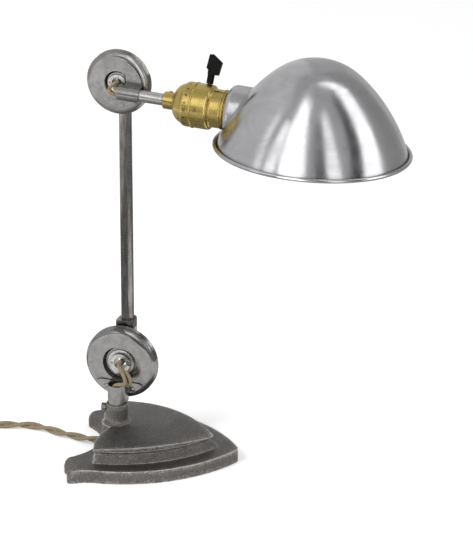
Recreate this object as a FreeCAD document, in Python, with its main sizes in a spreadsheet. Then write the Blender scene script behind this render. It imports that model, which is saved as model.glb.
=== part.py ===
"""Dome shade desk lamp: cast base, short swivelling stem, two hollow friction joints, an
upright arm, a shade arm with a brass key socket, and a spun dome shade on the socket.

Frame: millimetres, +Z up, the origin on the table under the stem's axis, +X from the stem
towards the shade and -Y the side that shows both round friction joints.
"""
import FreeCAD
import Part
import math
import os
import Sketcher

SIZES = {
    # cast base, seen from above: a gothic arch with two lobes at its tail
    "base_yaw": 8.0,
    "base_half_width": 66.0,
    "base_side_radius": 130.0,
    "base_wide_at": -5.0,
    "base_tip_round": 7.0,
    "base_plate_height": 12.0,
    "base_wall": 4.6,
    "ear_reach": 24.0,
    "ear_flare": 5.0,
    "ear_round": 3.6,
    "base_rear": 15.8,
    "lobe_reach": 36.5,
    "lobe_radius": 9.5,
    "lobe_side": 47.0,
    "lobe_notch": 5.8,
    "tail_half_width": 13.0,
    "tail_hollow": 52.0,
    "plateau_half_width": 50.0,
    "plateau_side_radius": 118.0,
    "plateau_wide_at": -10.0,
    "plateau_rear": 3.7,
    "plateau_rear_half": 13.3,
    "plateau_rear_radius": 47.0,
    "plateau_lip": 22.6,
    "crown_height": 29.6,
    "crown_radius": 300.0,
    "crown_centre": 18.0,
    "cove_depth": 2.6,
    "cove_foot": 3.2,
    "boss_radius": 9.4,
    "boss_below_joint": 33.0,
    "boss_foot": 13.2,
    "nut_room_radius": 9.8,
    "cavity_roof": 21.5,
    # stem, its lock nut and set screw
    "stem_radius": 6.6,
    "stem_bore": 5.0,
    "stem_foot": 14.5,
    "stem_sink": 18.0,
    "running_gap": 0.06,
    "nut_height": 4.5,
    "nut_flats": 15.0,
    "washer_thick": 1.2,
    "stem_washer_radius": 9.0,
    "set_screw_radius": 2.0,
    "set_screw_length": 7.0,
    # friction joints
    "lower_axis_height": 80.0,
    "axis_distance": 259.5,
    "lower_disc_radius": 32.5,
    "lower_face_radius": 27.4,
    "lower_half_depth": 6.5,
    "lower_recess_radius": 15.8,
    "lower_recess_depth": 4.0,
    "lower_washer_radius": 11.7,
    "lower_bushing_radius": 6.8,
    "lower_bushing_bore": 5.2,
    "lower_nut_radius": 8.7,
    "upper_disc_radius": 28.2,
    "upper_face_radius": 23.6,
    "upper_half_depth": 5.6,
    "upper_recess_radius": 11.4,
    "upper_recess_depth": 3.1,
    "upper_washer_radius": 9.2,
    "upper_bushing_radius": 5.8,
    "upper_bushing_bore": 4.4,
    "upper_nut_radius": 7.8,
    "disc_wall": 1.2,
    "disc_split": 1.0,
    "spring_thick": 0.9,
    "lower_nut_thick": 2.4,
    "upper_nut_thick": 1.8,
    "flange_thick": 1.3,
    "nut_slot_width": 1.8,
    "nut_slot_depth": 1.2,
    # stamped saddles that carry the tubes on the discs
    "tunnel_radius": 8.0,
    "tunnel_start": 15.5,
    "arm_tunnel_end": 35.5,
    "upper_tunnel_start": 12.5,
    "upper_tunnel_end": 25.5,
    "saddle_plate": 1.4,
    "saddle_half_width": 21.0,
    "rivet_spacing": 12.0,
    "rivet_drop": 21.5,
    "rivet_radius": 1.5,
    "rivet_head_radius": 2.7,
    "rivet_head_height": 1.2,
    "head_tunnel_radius": 6.5,
    "head_tunnel_start": 4.2,
    "head_tunnel_end": 23.2,
    "head_plate_start": 8.5,
    # arm tube, shade arm and wires
    "arm_tube_radius": 5.55,
    "arm_tube_bore": 4.2,
    "shade_arm_radius": 5.15,
    "shade_arm_bore": 3.8,
    "shade_arm_drop": 4.6,
    "shade_arm_dip": 2.3,
    "shade_arm_start": 6.0,
    "shade_arm_end": 58.0,
    "conductor_diameter": 3.2,
    # socket, measured along the shade arm from the upper joint's axis
    "collar_start": 45.2,
    "collar_radius": 7.4,
    "collar_length": 9.3,
    "cap_radius": 19.0,
    "cap_shoulder": 63.5,
    "cap_end": 74.0,
    "cap_wall": 0.8,
    "pin_hole_radius": 0.8,
    "pin_hole_count": 18.0,
    "pin_hole_at": 68.6,
    "bead_radius": 0.9,
    "shell_waist_start": 89.0,
    "shell_waist_radius": 16.3,
    "shell_end": 102.2,
    "shell_wall": 0.7,
    "thread_radius": 15.8,
    "thread_end": 111.5,
    "core_radius": 17.1,
    "core_start": 67.0,
    "core_end": 92.0,
    "terminal_offset": 10.5,
    "screw_shell_radius": 13.2,
    "screw_shell_wall": 0.4,
    "screw_shell_end": 109.5,
    "screw_shell_taper": 3.6,
    "key_at": 82.0,
    "key_lean": 24.0,
    "key_shaft_radius": 1.6,
    "key_stem_radius": 3.0,
    "key_stem_length": 9.5,
    "key_thick": 3.2,
    # shade
    "dome_neck_sink": 5.6,
    "dome_roll": 4.7,
    "rim_drop": 23.3,
    "dome_radius": 80.8,
    "dome_crown_radius": 56.7,
    "dome_crown_angle": 49.0,
    "dome_height": 79.0,
    "dome_wall": 0.9,
    "rim_bead_radius": 1.7,
    "neck_radius": 22.4,
    "neck_mouth": 102.3,
    "neck_mouth_radius": 16.9,
    "neck_round": 6.0,
    "shade_ring_thick": 4.0,
    "shade_ring_radius": 19.6,
    # flexible cord
    "cord_diameter": 6.8,
    "cord_exit_side": 5.0,
    "cord_hole_height": 6.4,
    "cord_bushing_radius": 4.5,
    "cord_bushing_flange": 5.3,
    "coil_radius": 50.0,
    "coil_pitch": 7.4,
    "coil_layer_turns": 3.5,
    "coil_x": -191.0,
    "coil_y": 37.0,
    "coil_layer_rise": 7.3,
    "plug_radius": 13.0,
    "plug_length": 30.0,
    "plug_tail": 50.0,
    "blade_length": 17.0,
}

COORD_X, COORD_Y, COORD_Z = (FreeCAD.Vector(1, 0, 0), FreeCAD.Vector(0, 1, 0), FreeCAD.Vector(0, 0, 1))
ORIGIN = FreeCAD.Vector(0, 0, 0)
SOLVED = 0.02  # mm that a sketch vertex may stray from where it was drawn

doc = FreeCAD.newDocument("desk_lamp")
sheet = doc.addObject("Spreadsheet::Sheet", "Sizes")
for row, (alias, number) in enumerate(SIZES.items(), start=1):
    sheet.set(f"A{row}", alias)
    sheet.set(f"B{row}", str(number))
    sheet.setAlias(f"B{row}", alias)
doc.recompute()


class Size:
    """A number worked out from the sheet's sizes, with the expression that binds it to them."""

    def __init__(self, value, text):
        self.value = value
        self.text = text

    def __add__(self, other):
        other = as_size(other)
        return Size(self.value + other.value, f"({self.text} + {other.text})")

    def __sub__(self, other):
        other = as_size(other)
        return Size(self.value - other.value, f"({self.text} - {other.text})")

    def __mul__(self, other):
        other = as_size(other)
        return Size(self.value * other.value, f"({self.text} * {other.text})")

    def __truediv__(self, other):
        other = as_size(other)
        return Size(self.value / other.value, f"({self.text} / {other.text})")

    def __neg__(self):
        return Size(-self.value, f"(-1 * {self.text})")

    __radd__ = __add__
    __rmul__ = __mul__

    def __rsub__(self, other):
        return as_size(other) - self

    @property
    def bound(self):
        return "Sizes." in self.text


def as_size(number):
    return number if isinstance(number, Size) else Size(float(number), repr(float(number)))


def size(alias):
    """The sheet's size of that alias."""
    return Size(float(sheet.get(alias)), f"Sizes.{alias}")


def root(number):
    """The square root of a size."""
    return Size(math.sqrt(number.value), f"sqrt({number.text})")


# ---------------------------------------------------------------- sketches and bodies


def origin_plane(body, role):
    return next(feature for feature in body.Origin.OriginFeatures if feature.Role == role)


def add_sketch(body, name, plane="XY_Plane", height=None):
    """A sketch on one of the body's own origin planes, lifted off it by height."""
    sketch = body.newObject("Sketcher::SketchObject", name)
    sketch.AttachmentSupport = [(origin_plane(body, plane), "")]
    sketch.MapMode = "FlatFace"
    if height is not None:
        height = as_size(height)
        sketch.AttachmentOffset = FreeCAD.Placement(COORD_Z * height.value, FreeCAD.Rotation())
        if height.bound:
            sketch.setExpression("AttachmentOffset.Base.z", height.text)
    return sketch


def bind(sketch, kind, places, number):
    """A sketch dimension, bound to the sheet where its size comes from there."""
    index = sketch.addConstraint(Sketcher.Constraint(kind, *places, number.value))
    if number.bound:
        sketch.setExpression(f"Constraints[{index}]", number.text)


def arc_edge(start, end, radius):
    """The short arc from start to end: anticlockwise for a positive radius, else clockwise."""
    middle = (start + end) * 0.5
    half = (end - start).Length / 2
    if abs(radius) < half:
        raise ValueError(f"no arc of radius {radius} spans {2 * half}")
    along = (end - start).normalize()
    left = FreeCAD.Vector(-along.y, along.x, 0)
    rise = math.sqrt(radius * radius - half * half)
    centre = middle + left * math.copysign(rise, radius)
    first, last = (start, end) if radius > 0 else (end, start)
    angles = [math.atan2(point.y - centre.y, point.x - centre.x) for point in (first, last)]
    return Part.ArcOfCircle(Part.Circle(centre, COORD_Z, abs(radius)), angles[0], angles[1])


def draw_loop(sketch, outline):
    """A closed loop through (x, y) or (x, y, radius), where radius bends the edge that arrives."""
    points = [tuple(as_size(number) for number in entry) for entry in outline]
    spots = [FreeCAD.Vector(entry[0].value, entry[1].value, 0) for entry in points]
    ends = []
    for index, spot in enumerate(spots):
        following = (index + 1) % len(spots)
        bend = points[following][2] if len(points[following]) > 2 else None
        if bend is None:
            edge = sketch.addGeometry(Part.LineSegment(spot, spots[following]), False)
            ends.append((edge, 1, 2))
            continue
        edge = sketch.addGeometry(arc_edge(spot, spots[following], bend.value), False)
        ends.append((edge, 1, 2) if bend.value > 0 else (edge, 2, 1))
    for index, (edge, start, end) in enumerate(ends):
        following = (index + 1) % len(ends)
        next_edge, next_start, next_end = ends[following]
        sketch.addConstraint(Sketcher.Constraint("Coincident", edge, end, next_edge, next_start))
        bind(sketch, "DistanceX", (edge, start), points[index][0])
        bind(sketch, "DistanceY", (edge, start), points[index][1])
        if len(points[following]) > 2:
            bend = points[following][2]
            bind(sketch, "Radius", (edge,), bend if bend.value > 0 else -bend)


def draw_circle(sketch, x, y, radius):
    x, y, radius = as_size(x), as_size(y), as_size(radius)
    ring = sketch.addGeometry(
        Part.Circle(FreeCAD.Vector(x.value, y.value, 0), COORD_Z, radius.value), False)
    bind(sketch, "DistanceX", (ring, 3), x)
    bind(sketch, "DistanceY", (ring, 3), y)
    bind(sketch, "Radius", (ring,), radius)


def new_body(label, place=None):
    body = doc.addObject("PartDesign::Body", label)
    body.Label = label
    if place is not None:
        body.Placement = place
    return body


def bind_length(feature, prop, number):
    number = as_size(number)
    setattr(feature, prop, number.value)
    if number.bound:
        feature.setExpression(prop, number.text)


def turned(label, outline, place=None):
    """A body turned about its own Z axis from an outline of (radius, height)."""
    body = new_body(label, place)
    sketch = add_sketch(body, f"{label}_profile", "XZ_Plane")
    draw_loop(sketch, outline)
    turn = body.newObject("PartDesign::Revolution", f"{label}_turn")
    turn.Profile = sketch
    turn.ReferenceAxis = (sketch, ["V_Axis"])
    turn.Angle = 360
    return body


def pad(body, name, loops, length, plane="XY_Plane", height=None, reverse=False):
    """A pad of outlines or (x, y, radius) circles, up from the plane or down from it."""
    sketch = add_sketch(body, f"{name}_sketch", plane, height)
    for loop in loops:
        if isinstance(loop, list):
            draw_loop(sketch, loop)
        else:
            draw_circle(sketch, *loop)
    feature = body.newObject("PartDesign::Pad", name)
    feature.Profile = sketch
    feature.Reversed = reverse
    bind_length(feature, "Length", length)
    return feature


def pocket(body, name, loops, length=None, plane="XY_Plane", height=None, reverse=False):
    """A pocket of outlines or circles: through everything where no length is given."""
    doc.recompute()
    before = body.Shape.Volume
    sketch = add_sketch(body, f"{name}_sketch", plane, height)
    for loop in loops:
        if isinstance(loop, list):
            draw_loop(sketch, loop)
        else:
            draw_circle(sketch, *loop)
    feature = body.newObject("PartDesign::Pocket", name)
    feature.Profile = sketch
    feature.Reversed = reverse
    if length is None:
        feature.Type = "ThroughAll"
        feature.Midplane = True
    else:
        bind_length(feature, "Length", length)
    doc.recompute()
    if body.Shape.Volume >= before:
        raise RuntimeError(f"{name} cuts nothing from {body.Label}")
    return feature


def block(x0, x1, y0, y1):
    """The outline of a rectangle."""
    return [(x0, y0), (x1, y0), (x1, y1), (x0, y1)]


def feature_of(label, shape, place=None):
    """A sub-part whose form Part's own functions make."""
    part = doc.addObject("Part::Feature", label)
    part.Label = label
    part.Shape = shape
    if place is not None:
        part.Placement = place
    return part


def wire_of(outline, height=0.0):
    """A closed wire at a height, from the same kind of outline as a sketch's."""
    points = [tuple(as_size(number).value for number in entry) for entry in outline]
    spots = [FreeCAD.Vector(entry[0], entry[1], 0) for entry in points]
    edges = []
    for index, spot in enumerate(spots):
        following = (index + 1) % len(spots)
        if len(points[following]) > 2:
            edges.append(arc_edge(spot, spots[following], points[following][2]).toShape())
        else:
            edges.append(Part.makeLine(spot, spots[following]))
    wire = Part.Wire(Part.__sortEdges__(edges))
    wire.translate(COORD_Z * height)
    return wire


def mirrored(half, tip_round):
    """A whole outline from its half at +Y, listed from the tip's tangent point to the tail."""
    (tip_x, tip_y), rest = half[0][:2], half[1:]
    bends = [entry[2:] for entry in rest] + [()]
    far = [(entry[0], -1 * as_size(entry[1]), *bends[index + 1])
           for index, entry in reversed(list(enumerate(rest)))]
    near_tip = (tip_x, -1 * as_size(tip_y), *bends[0])
    return [(tip_x, tip_y, tip_round)] + rest + far + [near_tip]


# ---------------------------------------------------------------- where things stand

FACING = FreeCAD.Rotation(COORD_X, 90)  # a disc's outer face towards -Y
BACKING = FreeCAD.Rotation(COORD_X, -90)  # a disc's outer face towards +Y
ALONG_X = FreeCAD.Rotation(COORD_Y, 90)  # a turned piece's axis towards +X

base_place = FreeCAD.Placement(ORIGIN, FreeCAD.Rotation(COORD_Z, SIZES["base_yaw"]))

lower_plane = size("tunnel_radius") + size("lower_half_depth")
arm_plane = lower_plane + size("lower_half_depth") + size("tunnel_radius")
upper_plane = arm_plane - size("tunnel_radius") - size("upper_half_depth")
boss_height = size("lower_axis_height") - size("boss_below_joint")
upper_height = size("lower_axis_height") + size("axis_distance")
shade_arm_out = size("upper_half_depth") + size("head_tunnel_radius")

lower_centre = FreeCAD.Vector(0, lower_plane.value, SIZES["lower_axis_height"])
upper_centre = FreeCAD.Vector(0, upper_plane.value, upper_height.value)
head_place = FreeCAD.Placement(upper_centre, FreeCAD.Rotation(COORD_Y, SIZES["shade_arm_dip"]))
arm_line = FreeCAD.Placement(
    FreeCAD.Vector(0, -shade_arm_out.value, -SIZES["shade_arm_drop"]), FreeCAD.Rotation())
shade_line = head_place.multiply(arm_line)
rolled = FreeCAD.Placement(ORIGIN, FreeCAD.Rotation(COORD_X, -SIZES["dome_roll"]))


def bind_place(part, x=None, y=None, z=None):
    """Binds a sub-part's place to the sheet."""
    for axis, number in (("x", x), ("y", y), ("z", z)):
        if number is not None:
            part.setExpression(f"Placement.Base.{axis}", as_size(number).text)
    return part


def at_lower(rotation):
    return FreeCAD.Placement(lower_centre, rotation)


def at_upper(rotation):
    return FreeCAD.Placement(upper_centre, rotation)


def on_lower(part):
    return bind_place(part, y=lower_plane, z=size("lower_axis_height"))


def on_upper(part):
    return bind_place(part, y=upper_plane, z=upper_height)


def along_arm(shift=0.0, rotation=None):
    """A place on the shade arm's line, shift along it from the upper joint."""
    local = FreeCAD.Placement(FreeCAD.Vector(as_size(shift).value, 0, 0), rotation or ALONG_X)
    return shade_line.multiply(local)


# ---------------------------------------------------------------- routes of cords and wires


def tangent_arcs(points):
    """Straight runs joined by tangent arcs, each as large as its two runs allow."""
    edges = []
    radii = []
    start = points[0]
    for index in range(1, len(points) - 1):
        before = points[index] - points[index - 1]
        after = points[index + 1] - points[index]
        shorter = min(before.Length, after.Length)
        turn = before.getAngle(after)
        reach = 0.45 * shorter
        radii.append(reach / math.tan(turn / 2))
        before.normalize()
        after.normalize()
        enter = points[index] - before * reach
        leave = points[index] + after * reach
        chord = (enter + leave) * 0.5
        bow = math.cos(turn / 2) / (1 + math.cos(turn / 2))
        crest = chord + (points[index] - chord) * bow
        edges.append(Part.makeLine(start, enter))
        edges.append(Part.Arc(enter, crest, leave).toShape())
        start = leave
    edges.append(Part.makeLine(start, points[-1]))
    return edges, radii


def tube_along(name, points, diameter):
    """A round solid along a route; its volume is compared with section times length."""
    points = [FreeCAD.Vector(*point) for point in points]
    edges, radii = tangent_arcs(points)
    path = Part.Wire(edges)
    circle = Part.Circle(points[0], points[1] - points[0], diameter / 2)
    profile = Part.Wire([circle.toShape()])
    tube = path.makePipeShell([profile], True, False)
    expected = math.pi * diameter * diameter / 4 * path.Length
    if not tube.isValid() or abs(tube.Volume - expected) > 0.01 * expected:
        raise RuntimeError(f"{name}: volume {tube.Volume:.1f}, section times length {expected:.1f}")
    print(f"{name}: length {path.Length:.1f}, radii " + ", ".join(f"{r:.1f}" for r in radii))
    return tube


def biarc(start, start_way, end, end_way):
    """Two arcs that join two points along their directions."""
    span = end - start
    ways = start_way + end_way
    curl = 2 * (1 - start_way.dot(end_way))
    lean = span.dot(ways)
    if curl < 1e-9:
        reach = span.dot(span) / (2 * lean)
    else:
        reach = (math.sqrt(lean * lean + curl * span.dot(span)) - lean) / curl
    first = start + start_way * reach
    second = end - end_way * reach
    joint = (first + second) * 0.5
    edges = []
    for tail, apex, head in ((start, first, joint), (joint, second, end)):
        chord = (tail + head) * 0.5
        half_turn = (apex - tail).getAngle(head - tail)
        crest = chord + (apex - chord) * (math.cos(half_turn) / (1 + math.cos(half_turn)))
        edges.append(Part.Arc(tail, crest, head).toShape())
    return edges


# ---------------------------------------------------------------- cast base


def tangent_tip(side_radius, wide_at, half_width, tip_round):
    """Where a rounded tip leaves the side arc of a pointed arch."""
    sink = side_radius - half_width
    inner = side_radius - tip_round
    reach = root(inner * inner - sink * sink)
    scale = side_radius / inner
    return wide_at + reach * scale, sink * scale - sink


def plate_outline(drawn_in=0.0):
    """The foot of the casting: a pointed arch with flared ears and two lobes at its tail.

    The tail's lobes, ears and rear edge can be drawn in, as they are towards the top.
    """
    drawn_in = as_size(drawn_in)
    side, wide_at = size("base_side_radius"), size("base_wide_at")
    half_width = size("base_half_width")
    tip = tangent_tip(side, wide_at, half_width, size("base_tip_round"))
    lobe = size("lobe_radius") - drawn_in
    lobe_x = size("lobe_radius") - size("lobe_reach")
    lobe_y = size("lobe_side")
    ear_x = drawn_in * 0.5 - size("ear_reach")
    flare_out = size("ear_flare") - drawn_in * 0.3
    ear_y = half_width + flare_out
    flare = wide_at - ear_x
    ear_bend = (flare * flare + flare_out * flare_out) / (flare_out * 2)
    ear = size("ear_round") - drawn_in * 0.3
    half = [
        tip,
        (wide_at, half_width, side),
        (ear_x, ear_y, -1 * ear_bend),
        (ear_x - ear * 1.36, ear_y - ear * 1.39, ear),
        (lobe_x - lobe * 0.42, lobe_y + lobe * 0.9075, -1 * (size("lobe_notch") + drawn_in)),
        (lobe_x - lobe * 0.47, lobe_y - lobe * 0.8827, lobe),
        (drawn_in - size("base_rear"), size("tail_half_width"), -1 * (size("tail_hollow") + drawn_in)),
    ]
    return mirrored(half, size("base_tip_round"))


def plateau_outline(grow, tip_round=5.0):
    """The raised part's outline, grown sideways by a distance, with a rounded tip."""
    side = size("plateau_side_radius") + grow
    wide_at = size("plateau_wide_at")
    half_width = size("plateau_half_width") + grow
    tip_round = as_size(tip_round)
    tip = tangent_tip(side, wide_at, half_width, tip_round)
    half = [
        tip,
        (wide_at, half_width, side),
        (-1 * (size("plateau_rear") + grow), size("plateau_rear_half"), size("plateau_rear_radius")),
    ]
    return mirrored(half, tip_round)


def prism(outline, bottom, top):
    face = Part.Face(wire_of(outline, bottom))
    return face.extrude(COORD_Z * (top - bottom))


def crown_ball(inset):
    """The ball whose top is the crown of the raised part, less an inset."""
    radius = SIZES["crown_radius"] - inset
    centre = FreeCAD.Vector(SIZES["crown_centre"], 0, SIZES["crown_height"] - SIZES["crown_radius"])
    return Part.makeSphere(radius, centre)


def revolved(outline):
    """A solid turned about Z from an outline of (radius, height)."""
    wire = wire_of(outline)
    wire.rotate(ORIGIN, COORD_X, 90)
    return Part.Face(wire).revolve(ORIGIN, COORD_Z, 360)


def base_casting():
    wall, plate_top = SIZES["base_wall"], SIZES["base_plate_height"]
    lip, cove, foot = SIZES["plateau_lip"], SIZES["cove_depth"], SIZES["cove_foot"]
    levels = [(0.0, 0.0), (6.0, 0.0), (9.2, 0.8), (11.2, 2.2), (plate_top, 3.8)]
    plate = Part.makeLoft([
        wire_of(plate_outline(drawn_in), height) for height, drawn_in in levels], True, True)
    steps = [(plate_top - 0.5, foot), (14.2, 0.8), (17.0, -1.4), (19.6, -cove), (lip - 1.6, -cove * 0.8)]
    cove_wires = [wire_of(plateau_outline(as_size(grow)), height) for height, grow in steps]
    coved = Part.makeLoft(cove_wires, True, False)
    lip_step = Part.makeLoft([
        wire_of(plateau_outline(as_size(-cove * 0.8)), lip - 1.6),
        wire_of(plateau_outline(as_size(0.0)), lip - 0.6)], True, True)
    cap = prism(plateau_outline(as_size(0.0)), lip - 0.6, 36).common(crown_ball(0))
    radius, height = SIZES["boss_radius"], boss_height.value
    boss_foot = SIZES["boss_foot"]
    boss = revolved([
        (0, plate_top - wall), (boss_foot, plate_top - wall),
        (boss_foot, SIZES["crown_height"] - 1.0),
        (radius, SIZES["crown_height"] + 4.0, -5.2),
        (radius, height - 0.8), (radius - 0.8, height, 0.8), (0, height)])
    rib_wire = Part.makePolygon([
        FreeCAD.Vector(-4, -3, height - 9), FreeCAD.Vector(-radius - 1.2, -3, height - 9),
        FreeCAD.Vector(-13.8, -3, plate_top - 1), FreeCAD.Vector(-4, -3, plate_top - 1),
        FreeCAD.Vector(-4, -3, height - 9)])
    rib = Part.Face(rib_wire).extrude(COORD_Y * 6)
    solid = plate.fuse([coved, lip_step, cap, boss, rib]).removeSplitter()
    inner_side = size("base_side_radius") - wall
    inner_tip = tangent_tip(
        inner_side, size("base_wide_at"), size("base_half_width") - wall, as_size(4.0))
    foot_hollow = prism(mirrored([
        inner_tip,
        (size("base_wide_at"), size("base_half_width") - wall, inner_side),
        (-19.0, size("base_half_width") - wall),
        (-25.0, size("lobe_side") - 4.0),
        (wall - size("base_rear"), size("tail_half_width"))], 4.0), -1, plate_top - wall)
    crown_hollow = prism(plateau_outline(as_size(-wall - 1.6), 3.0), -1, 36).common(crown_ball(wall))
    hollow = foot_hollow.fuse(crown_hollow)
    hollow = hollow.cut(Part.makeCylinder(boss_foot, 30, FreeCAD.Vector(0, 0, plate_top - wall)))
    nut_room = Part.makeCylinder(SIZES["nut_room_radius"], SIZES["cavity_roof"] + 1.0, COORD_Z * -1)
    bore = Part.makeCylinder(SIZES["stem_radius"] + SIZES["running_gap"], 60)
    exit_spot = FreeCAD.Vector(0, SIZES["cord_exit_side"], SIZES["cord_hole_height"])
    exit_hole = Part.makeCylinder(SIZES["cord_bushing_radius"], 40, exit_spot, FreeCAD.Vector(-1, 0, 0))
    screw_spot = FreeCAD.Vector(0, 0, height - 5.0)
    screw_hole = Part.makeCylinder(SIZES["set_screw_radius"], 20, screw_spot, FreeCAD.Vector(-1, 0, 0))
    return solid.cut([hollow, nut_room, bore, exit_hole, screw_hole])


feature_of("base_casting", base_casting(), base_place)

screw_reach = size("stem_radius") + size("running_gap")
screw_place = base_place.multiply(FreeCAD.Placement(
    FreeCAD.Vector(-screw_reach.value, 0, boss_height.value - 5.0), FreeCAD.Rotation(COORD_Y, -90)))
screw_radius, screw_length = size("set_screw_radius"), size("set_screw_length")
set_screw = turned("stem_set_screw", [
    (0, 0), (screw_radius, 0), (screw_radius, 3.2), (3.4, 3.2),
    (3.4, screw_length - 0.6), (2.8, screw_length, 0.7), (0, screw_length)], screw_place)
pocket(set_screw, "stem_set_screw_slot", [block(-4.0, 4.0, -0.5, 0.5)], 1.2, height=screw_length)

bushing_place = base_place.multiply(FreeCAD.Placement(
    FreeCAD.Vector(-SIZES["base_rear"] - 1.2, SIZES["cord_exit_side"], SIZES["cord_hole_height"]),
    FreeCAD.Rotation(COORD_Y, 90)))
cord_radius = size("cord_diameter") / 2
bushing_bore = cord_radius + size("running_gap")
turned("cord_bushing", [
    (bushing_bore, 0), (size("cord_bushing_flange"), 0), (size("cord_bushing_flange"), 1.2),
    (size("cord_bushing_radius"), 1.2), (size("cord_bushing_radius"), 6.4), (bushing_bore, 6.4)],
    bushing_place)

# ---------------------------------------------------------------- stem

roof, foot = size("cavity_roof"), size("stem_foot")
stem_radius, gap = size("stem_radius"), size("running_gap")
stem_top = size("lower_axis_height") - size("stem_sink")
turned("stem_tube", [
    (size("stem_bore"), foot), (stem_radius - 0.5, foot), (stem_radius, foot + 0.5),
    (stem_radius, stem_top - 0.4), (stem_radius - 0.4, stem_top), (size("stem_bore"), stem_top)])
washer_top = roof - gap
washer_foot = washer_top - size("washer_thick")
turned("stem_washer", [
    (stem_radius + gap, washer_foot), (size("stem_washer_radius"), washer_foot),
    (size("stem_washer_radius"), washer_top), (stem_radius + gap, washer_top)])
half_flat = size("nut_flats") / 2
corner = half_flat * 2 / root(as_size(3.0))
hexagon = [
    (corner, 0), (corner / 2, half_flat), (corner / -2, half_flat), (-1 * corner, 0),
    (corner / -2, -1 * half_flat), (corner / 2, -1 * half_flat)]
locknut = new_body("stem_locknut")
pad(locknut, "stem_locknut_pad", [hexagon, (0, 0, stem_radius)], size("nut_height"),
    height=washer_foot - size("nut_height"))


def saddle(label, place, disc, tube_radius, start, end):
    """A stamped clamp on a disc's face: two flat ears and a tunnel along -Y that holds a tube."""
    body = new_body(label, place)
    face = size(f"{disc}_half_depth")
    reach = size(f"{disc}_face_radius")
    half_width = size("saddle_half_width") * (1.0 if disc == "lower" else 0.83)
    top = -1 * start
    low = -1 * root(reach * reach - half_width * half_width)
    pad(body, f"{label}_ears", [[
        (half_width * -0.84, top - 0.5), (-1 * half_width, low),
        (half_width, low, reach), (half_width * 0.84, top - 0.5)]], size("saddle_plate"), height=face)
    axis = face + size("tunnel_radius")
    pad(body, f"{label}_walls", [block(
        -1 * size("tunnel_radius"), size("tunnel_radius"), face, axis)],
        end - start, "XZ_Plane", start)
    pad(body, f"{label}_arch", [(0, axis, size("tunnel_radius"))], end - start, "XZ_Plane", start)
    pocket(body, f"{label}_bore", [(0, axis, tube_radius + size("running_gap"))],
           plane="XZ_Plane")
    across = size("rivet_spacing")
    drop = -1 * size("rivet_drop") * (1.0 if disc == "lower" else 0.8)
    pocket(body, f"{label}_holes", [
        (across, drop, size("rivet_radius")), (-1 * across, drop, size("rivet_radius"))])
    return body


def rivets(label, place, disc):
    """The pair of rivets through a saddle's ears and its disc's face."""
    face = SIZES[f"{disc}_half_depth"]
    drop = -SIZES["rivet_drop"] * (1.0 if disc == "lower" else 0.8)
    shank, head = SIZES["rivet_radius"], SIZES["rivet_head_radius"]
    seat = face + SIZES["saddle_plate"]
    under = face - SIZES["disc_wall"]
    crown = SIZES["rivet_head_height"]
    ball = (head * head + crown * crown) / (2 * crown)
    one = revolved([
        (0, under - 0.9), (shank + 0.8, under - 0.9), (shank + 0.8, under), (shank, under),
        (shank, seat), (head, seat), (0, seat + crown, ball)])
    pair = []
    for side in (-1, 1):
        copy = one.copy()
        copy.translate(FreeCAD.Vector(side * SIZES["rivet_spacing"], drop, 0))
        pair.append(copy)
    return feature_of(label, Part.makeCompound(pair), place)


def disc(label, place, kind, holed=True):
    """One half of a friction joint: a dished stamping with a sunk middle and a rolled rim."""
    radius, face = size(f"{kind}_disc_radius"), size(f"{kind}_face_radius")
    depth, wall = size(f"{kind}_half_depth"), size("disc_wall")
    recess = size(f"{kind}_recess_radius")
    bore = size(f"{kind}_bushing_radius") + size("running_gap")
    floor = depth - size(f"{kind}_recess_depth")
    rim = size("disc_split") / 2
    edge = rim + 2.1

    def rolled_rim(start, end, fall):
        """The radius that leaves the face level and falls to the rim."""
        return ((end - start) * (end - start) + fall * fall) / (fall * 2)

    inner_bend = rolled_rim(face - 0.3, radius - 1.3, depth - wall - edge)
    body = turned(label, [
        (bore, floor - wall), (recess - 0.8, floor - wall), (recess + 1.2, depth - wall),
        (face - 0.3, depth - wall), (radius - 1.3, edge, inner_bend * -1),
        (radius - 2.3, rim), (radius - 1.1, rim), (radius, edge),
        (face, depth, rolled_rim(face, radius, depth - edge)),
        (recess, depth), (recess - 2.0, floor), (bore, floor)], place)
    if holed:
        drop = size("rivet_drop") * (-1.0 if kind == "lower" else -0.8)
        pocket(body, f"{label}_holes", [
            (size("rivet_spacing"), drop, size("rivet_radius")),
            (-1 * size("rivet_spacing"), drop, size("rivet_radius"))])
    return body


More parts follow.
